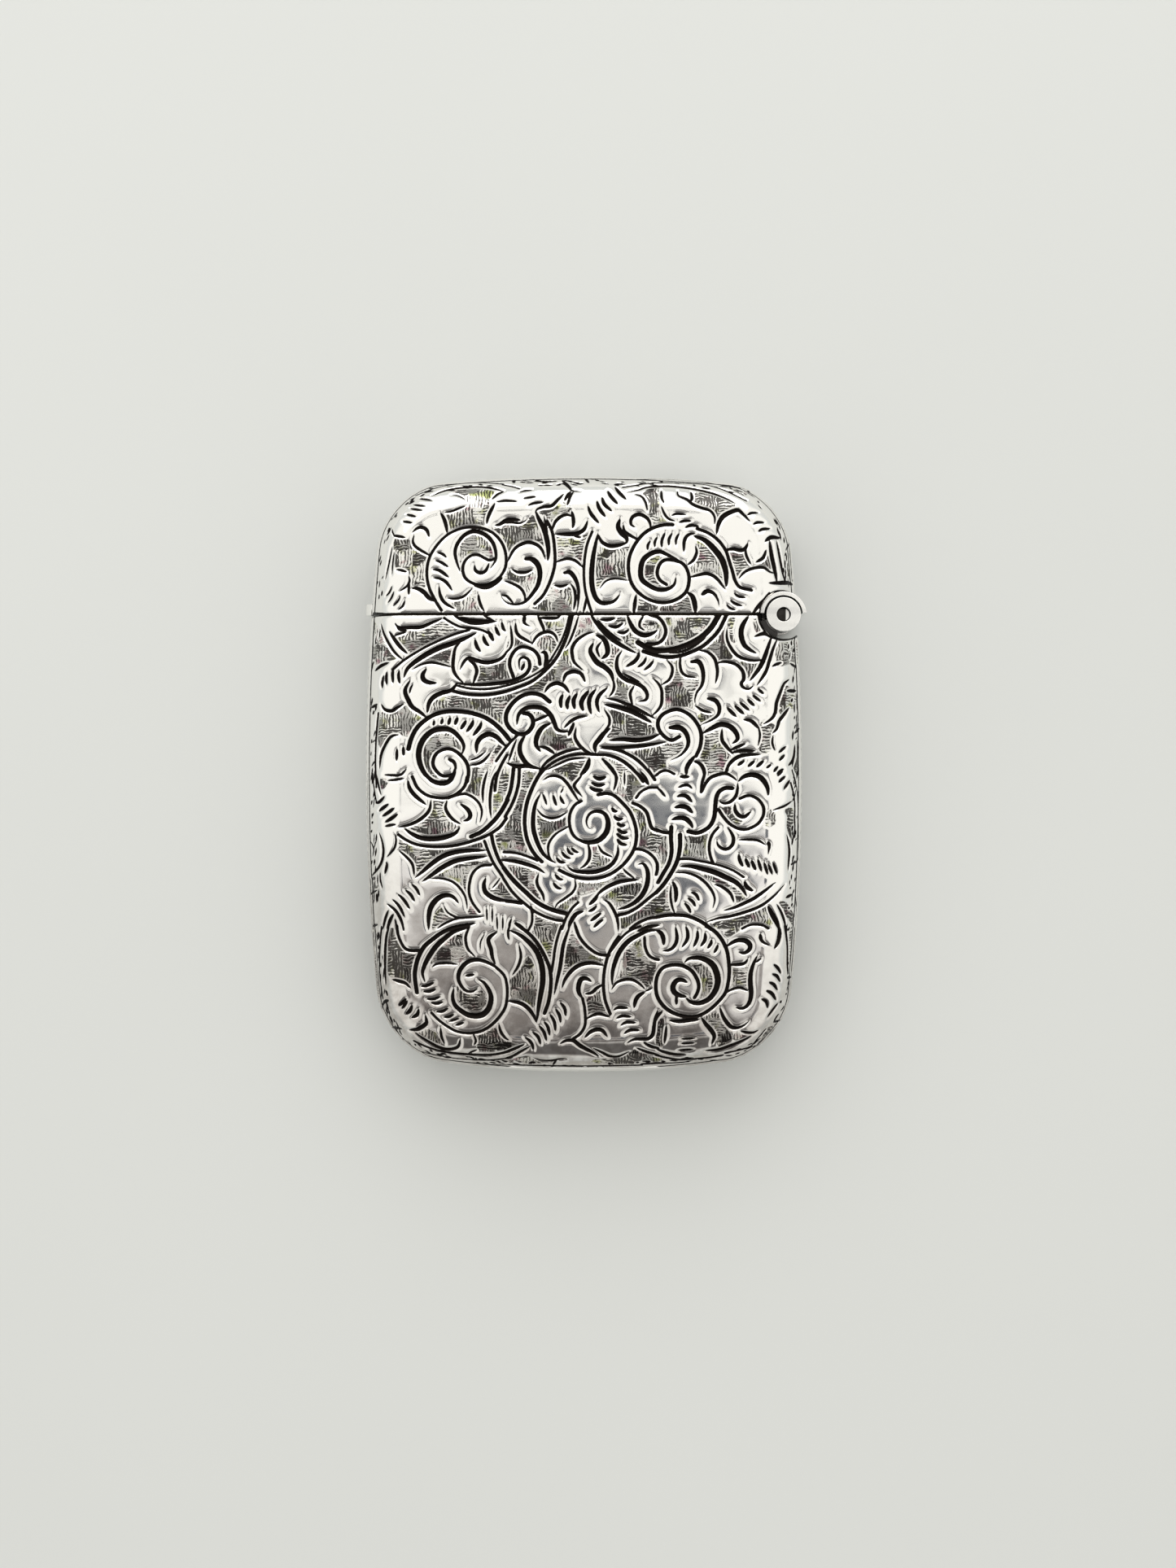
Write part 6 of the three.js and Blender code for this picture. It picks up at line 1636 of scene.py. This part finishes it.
def engraved_finish():
    """Polished silver with black cuts, hatched grounds and greyer silver towards the base."""
    material, nodes, shader = finish_of("engraved_silver_finish")
    cut = nodes.add("ShaderNodeAttribute", attribute_name="cut").outputs["Fac"]
    ground = nodes.add("ShaderNodeAttribute", attribute_name="ground").outputs["Fac"]
    places = nodes.places()
    strokes, lot = hatching(nodes, places)
    ragged = nodes.math("SUBTRACT", nodes.noise(places, 6.0, 2.0), 0.5)
    ragged = nodes.math("MULTIPLY", ragged, CUT_RAG)
    in_cut = nodes.fade(nodes.math("ADD", cut, ragged), *CUT_FADE)
    more_ragged = nodes.math("MULTIPLY", ragged, 2.0)
    in_ground = nodes.fade(nodes.math("ADD", ground, more_ragged), *GROUND_EDGE)
    hatched = nodes.math("MULTIPLY", in_ground, nodes.fade(cut, *HATCH_CLEAR))
    dark = nodes.math("MULTIPLY", hatched, nodes.math("SUBTRACT", 1.0, strokes))

    between = nodes.blend(nodes.fade(lot, 0.40, 0.90, 0.0, BLOCK_DARK), tints(nodes, places), SOOT)
    lower_grey_share = lower_greying(nodes, places)
    polished = nodes.blend(lower_grey_share, SILVER, LOWER_GREY)
    bare = nodes.blend(hatched, polished, nodes.blend(lower_grey_share, between, LOWER_GREY, "MULTIPLY"))
    worn = nodes.blend(nodes.math("MULTIPLY", dark, STROKE_DARK), bare, SOOT)
    nodes.join(nodes.blend(in_cut, worn, OXIDE), shader.inputs["Base Color"])

    wear = scratches(nodes)
    rough = nodes.fade(wear, *WEAR_SPAN, *ENGRAVED_ROUGH)
    for where, more in ((hatched, HATCHED_ROUGHER), (in_cut, CUT_ROUGHER)):
        rough = nodes.math("ADD", rough, nodes.math("MULTIPLY", where, more))
    nodes.join(rough, shader.inputs["Roughness"])
    shader.inputs["Metallic"].default_value = 1.0
    normal = nodes.bump(nodes.math("MULTIPLY", strokes, hatched), 0.6, STROKE_HEIGHT * MM)
    nodes.join(nodes.bump(wear, 0.05, SCRATCH_HEIGHT * MM, normal), shader.inputs["Normal"])
    return material


def from_pin(nodes, x, y):
    """Distance from the hinge pin's middle line."""
    across, along = nodes.math("SUBTRACT", x, HINGE[0]), nodes.math("SUBTRACT", y, HINGE[1])
    squares = [nodes.math("MULTIPLY", side, side) for side in (across, along)]
    return nodes.math("SQRT", nodes.math("ADD", *squares))


def metal_finish(
    name, colour, rough_low, rough_high, dirt, dirt_colour=OXIDE, highlight_past=None, shaded_past=None
):
    """Worn metal: soft edges, fine scratches, dirt in patches and painted shade in the hollows.

    It can have a painted highlight past some x, and painted shade past some distance from the hinge
    pin.
    """
    material, nodes, shader = finish_of(name)
    places = nodes.places()
    wear = scratches(nodes)
    patches = nodes.fade(nodes.noise(places, 0.8, 4.0), 0.62, 0.30, 0.0, dirt)
    stained = nodes.blend(patches, colour, dirt_colour)
    # Ambient occlusion turns the hollows towards black oxide colour: painted shade.
    hollow = nodes.add("ShaderNodeAmbientOcclusion", samples=16)
    hollow.inputs["Distance"].default_value = HOLLOW_REACH * MM
    hollow_shade = nodes.fade(hollow.outputs["AO"], *HOLLOW_FADE, 0.0, HOLLOW_DARK)
    dirt_and_painted_light = nodes.blend(hollow_shade, stained, OXIDE)
    x, y = nodes.axes(places)[:2]
    # A painted highlight: the colour turns to bright silver past some x.
    if highlight_past is not None:
        bright = nodes.fade(x, highlight_past, highlight_past + HIGHLIGHT_FADE)
        dirt_and_painted_light = nodes.blend(bright, dirt_and_painted_light, SILVER)
    # Painted shade past some distance from the pin: on the knuckles, the web below them.
    if shaded_past is not None:
        away = from_pin(nodes, x, y)
        far_shade = nodes.fade(away, shaded_past, shaded_past + SHADED_PAST_FADE, 0.0, SHADED_PAST_DARK)
        dirt_and_painted_light = nodes.blend(far_shade, dirt_and_painted_light, OXIDE)
    nodes.join(dirt_and_painted_light, shader.inputs["Base Color"])
    rough = nodes.fade(wear, *WEAR_SPAN, rough_low, rough_high)
    rough = nodes.math("ADD", rough, nodes.math("MULTIPLY", patches, DIRT_ROUGHER))
    nodes.join(rough, shader.inputs["Roughness"])
    shader.inputs["Metallic"].default_value = 1.0
    soft = nodes.add("ShaderNodeBevel", samples=4)
    soft.inputs["Radius"].default_value = EDGE_SOFTNESS * MM
    nodes.join(nodes.bump(wear, 0.12, SCRATCH_HEIGHT * MM, soft.outputs[0]), shader.inputs["Normal"])
    return material


FLOOR_COLOURS = ((0.62, 0.63, 0.615), (0.665, 0.675, 0.66))


def floor_finish():
    material, nodes, shader = finish_of("pale_floor")
    places = nodes.places(scale=(1, 1, 1))
    shade = nodes.noise(places, 9.0, 3.0)
    nodes.join(nodes.blend(shade, *FLOOR_COLOURS), shader.inputs["Base Color"])
    shader.inputs["Roughness"].default_value = 0.85
    return material


engraved_silver = engraved_finish()
plain_silver = metal_finish("plain_silver_finish", BRIGHT, 0.10, 0.22, 0.08)
# The knuckles darken past their own radius, on the web below them: painted shade.
knuckle_silver = metal_finish("knuckle_finish", BRIGHT, 0.10, 0.22, 0.08, shaded_past=KNUCKLE_R)
gilt_inside = metal_finish("gilt_inside_finish", GILT, 0.18, 0.32, 0.45, TARNISH)
rubbed_silver = metal_finish("rubbed_silver_finish", (0.62, 0.60, 0.56), 0.3, 0.5, 0.7)
# The pin: near black as painted shade in its bore, with a painted highlight on its right side.
shaded_pin = metal_finish(
    "shaded_pin_finish", PIN_SHADE, 0.25, 0.4, 0.6, highlight_past=HINGE[0] + PIN_HIGHLIGHT
)
# The gutter under the hinge is near black as painted shade in its recess, with dirt in patches.
shaded_gutter_silver = metal_finish("shaded_gutter_finish", (0.20, 0.19, 0.18), 0.2, 0.4, 0.85)
spring_steel = metal_finish("spring_steel_finish", STEEL, 0.25, 0.45, 0.5, (0.12, 0.08, 0.05))


# ---- The pieces ----

for panel in PANELS:
    engrave_panel(panel)
engrave_edge()

for part, body in (("body", "case_body"), ("lid", "lid")):
    for shell, side in zip(half_shells(part), ("front", "back")):
        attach(shell, body)
        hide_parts(f"{part}_{side}_shell")

CARRIED = {
    "base_frame": plain_silver,
    "striker_strip": rubbed_silver,
    "mouth_bezel": gilt_inside,
    "hinge_gutter": shaded_gutter_silver,
    "body_knuckle_front": knuckle_silver,
    "body_knuckle_back": knuckle_silver,
    "hinge_pin": shaded_pin,
    "hinge_spring": spring_steel,
    "spring_seat": gilt_inside,
    "spring_rivet_lower": plain_silver,
    "spring_rivet_upper": plain_silver,
    "lid_hinge_strap": plain_silver,
    "lid_knuckle": plain_silver,
    "thumb_lip": plain_silver,
}
for node, finish in CARRIED.items():
    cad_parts[node].material_slots[0].material = finish


# ---- Floor, light and camera ----

FLOOR_HALF = 1500.0
floor_mesh = bpy.data.meshes.new("floor")
SQUARE = ((-1, -1), (1, -1), (1, 1), (-1, 1))
corners = [(x * FLOOR_HALF * MM, y * FLOOR_HALF * MM, 0.0) for x, y in SQUARE]
floor_mesh.from_pydata(corners, [], [(0, 1, 2, 3)])
floor_mesh.materials.append(floor_finish())
floor = bpy.data.objects.new("floor", floor_mesh)
bpy.context.scene.collection.objects.link(floor)


# What hangs overhead is told by where the face shows it: a millimetre along the face moves
# its reflection by this much of the height overhead.
FACE_STEP_X = 0.00714
FACE_STEP_Y = 0.00632
WHITE = (1.04, 1.03, 0.985)
LOW_WALL = (0.74, 0.76, 0.74)
VIEWER = (0.17, 0.163, 0.158)
LOW_FADE = (0.45, 0.15)  # heights between which the room turns into its low wall
LOWEST = 0.05
STREAK_STRETCH = 0.35
STREAK_REACH = 5.0  # how far the streaks push a card's edges about
STREAK_FADE = (0.66, 0.45)
STREAK_CLEAR = 0.70
# The viewer is a soft-edged shape at the near side: how near, how high and how far to a side.
VIEWER_NEAR = (-0.12, -0.42)
VIEWER_HEIGHT = (0.30, 0.50)
VIEWER_SIDE = (0.32, 0.16)
CARDS = (
    # left, right, near and far edge, lean, softness, colour
    (-20.0, 20.0, -45.0, -4.0, 0.0, 2.5, (0.88, 0.86, 0.845)),
    (-6.0, 12.5, -11.0, 1.2, 0.0, 1.4, (0.07, 0.08, 0.10)),
    (0.5, 12.0, 8.9, 12.5, 0.0, 0.4, (0.05, 0.055, 0.075)),
    (-12.0, -1.5, 9.8, 13.6, 0.5, 0.8, (0.07, 0.065, 0.06)),
    (-4.5, -1.0, 1.8, 4.2, 0.0, 0.7, (0.16, 0.16, 0.17)),
    (-15.5, 10.5, -26.0, -10.5, -0.12, 2.0, (0.40, 0.375, 0.355)),
    (-14.0, 14.0, -36.0, -18.8, 0.0, 2.0, (0.16, 0.15, 0.145)),
)


def studio():
    """A bright room with dark cards overhead and a dim viewer at the near side."""
    world = bpy.data.worlds.new("studio")
    bpy.context.scene.world = world
    world.use_nodes = True
    nodes = Nodes(world.node_tree)
    background = next(node for node in world.node_tree.nodes if node.type == "BACKGROUND")
    side, near, height = nodes.axes(nodes.add("ShaderNodeTexCoord").outputs["Generated"])[:3]
    up = nodes.math("MAXIMUM", height, LOWEST)
    right = nodes.math("DIVIDE", nodes.math("DIVIDE", side, up), FACE_STEP_X)
    ahead = nodes.math("DIVIDE", nodes.math("DIVIDE", near, up), FACE_STEP_Y)
    spot = nodes.add("ShaderNodeCombineXYZ")
    nodes.join(right, spot.inputs[0])
    nodes.join(nodes.math("MULTIPLY", ahead, STREAK_STRETCH), spot.inputs[1])
    streaks = nodes.noise(spot.outputs[0], 0.45, 3.0, 0.6)
    stir = nodes.math("MULTIPLY", nodes.math("SUBTRACT", streaks, 0.5), STREAK_REACH)
    right = nodes.math("ADD", right, stir)
    ahead = nodes.math("ADD", ahead, stir)

    def card(left, far_right, near, far, lean, soft):
        """One inside a soft-edged card overhead and nothing outside it."""
        level = nodes.math("SUBTRACT", ahead, nodes.math("MULTIPLY", right, lean))
        share = nodes.fade(right, left - soft, left + soft)
        for value, start in ((right, far_right), (level, far)):
            share = nodes.math("MULTIPLY", share, nodes.fade(value, start + soft, start - soft))
        return nodes.math("MULTIPLY", share, nodes.fade(level, near - soft, near + soft))

    colour = WHITE
    for *place, shade in CARDS:
        streaked = nodes.fade(streaks, *STREAK_FADE, STREAK_CLEAR, 1.0)
        hidden = nodes.math("MULTIPLY", card(*place), streaked)
        colour = nodes.blend(hidden, colour, shade)
    colour = nodes.blend(nodes.fade(height, *LOW_FADE), colour, LOW_WALL)
    viewer = nodes.math("MULTIPLY", nodes.fade(near, *VIEWER_NEAR), nodes.fade(height, *VIEWER_HEIGHT))
    off_middle = nodes.math("ABSOLUTE", side)
    viewer = nodes.math("MULTIPLY", viewer, nodes.fade(off_middle, *VIEWER_SIDE))
    colour = nodes.blend(viewer, colour, VIEWER)
    nodes.join(colour, background.inputs["Color"])
    background.inputs["Strength"].default_value = 1.0


def soft_light(name, place, size, watts, aim=(0, 0, 0)):
    """A rectangular light that faces a point."""
    light = bpy.data.lights.new(name, "AREA")
    light.shape = "RECTANGLE"
    light.size, light.size_y = size[0] * MM, size[1] * MM
    light.energy = watts
    thing = bpy.data.objects.new(name, light)
    thing.location = Vector(place) * MM
    thing.rotation_euler = (Vector(aim) - Vector(place)).to_track_quat("-Z", "Y").to_euler()
    bpy.context.scene.collection.objects.link(thing)


studio()
soft_light("window", (-30, 250, 210), (440, 320), 0.52)

VIEW_HEIGHT = 124.1  # what the picture spans from top to bottom, at the middle of the case
SENSOR = 36.0
CLIP_START = 10.0
camera_data = bpy.data.cameras.new("camera")
camera_data.sensor_width = SENSOR
camera_data.lens = SENSOR * (EYE[2] - MID_Z) / VIEW_HEIGHT
camera_data.clip_start = CLIP_START * MM
camera = bpy.data.objects.new("camera", camera_data)
camera.location = Vector(EYE) * MM
bpy.context.scene.collection.objects.link(camera)
bpy.context.scene.camera = camera
bpy.context.scene.view_settings.view_transform = "Standard"
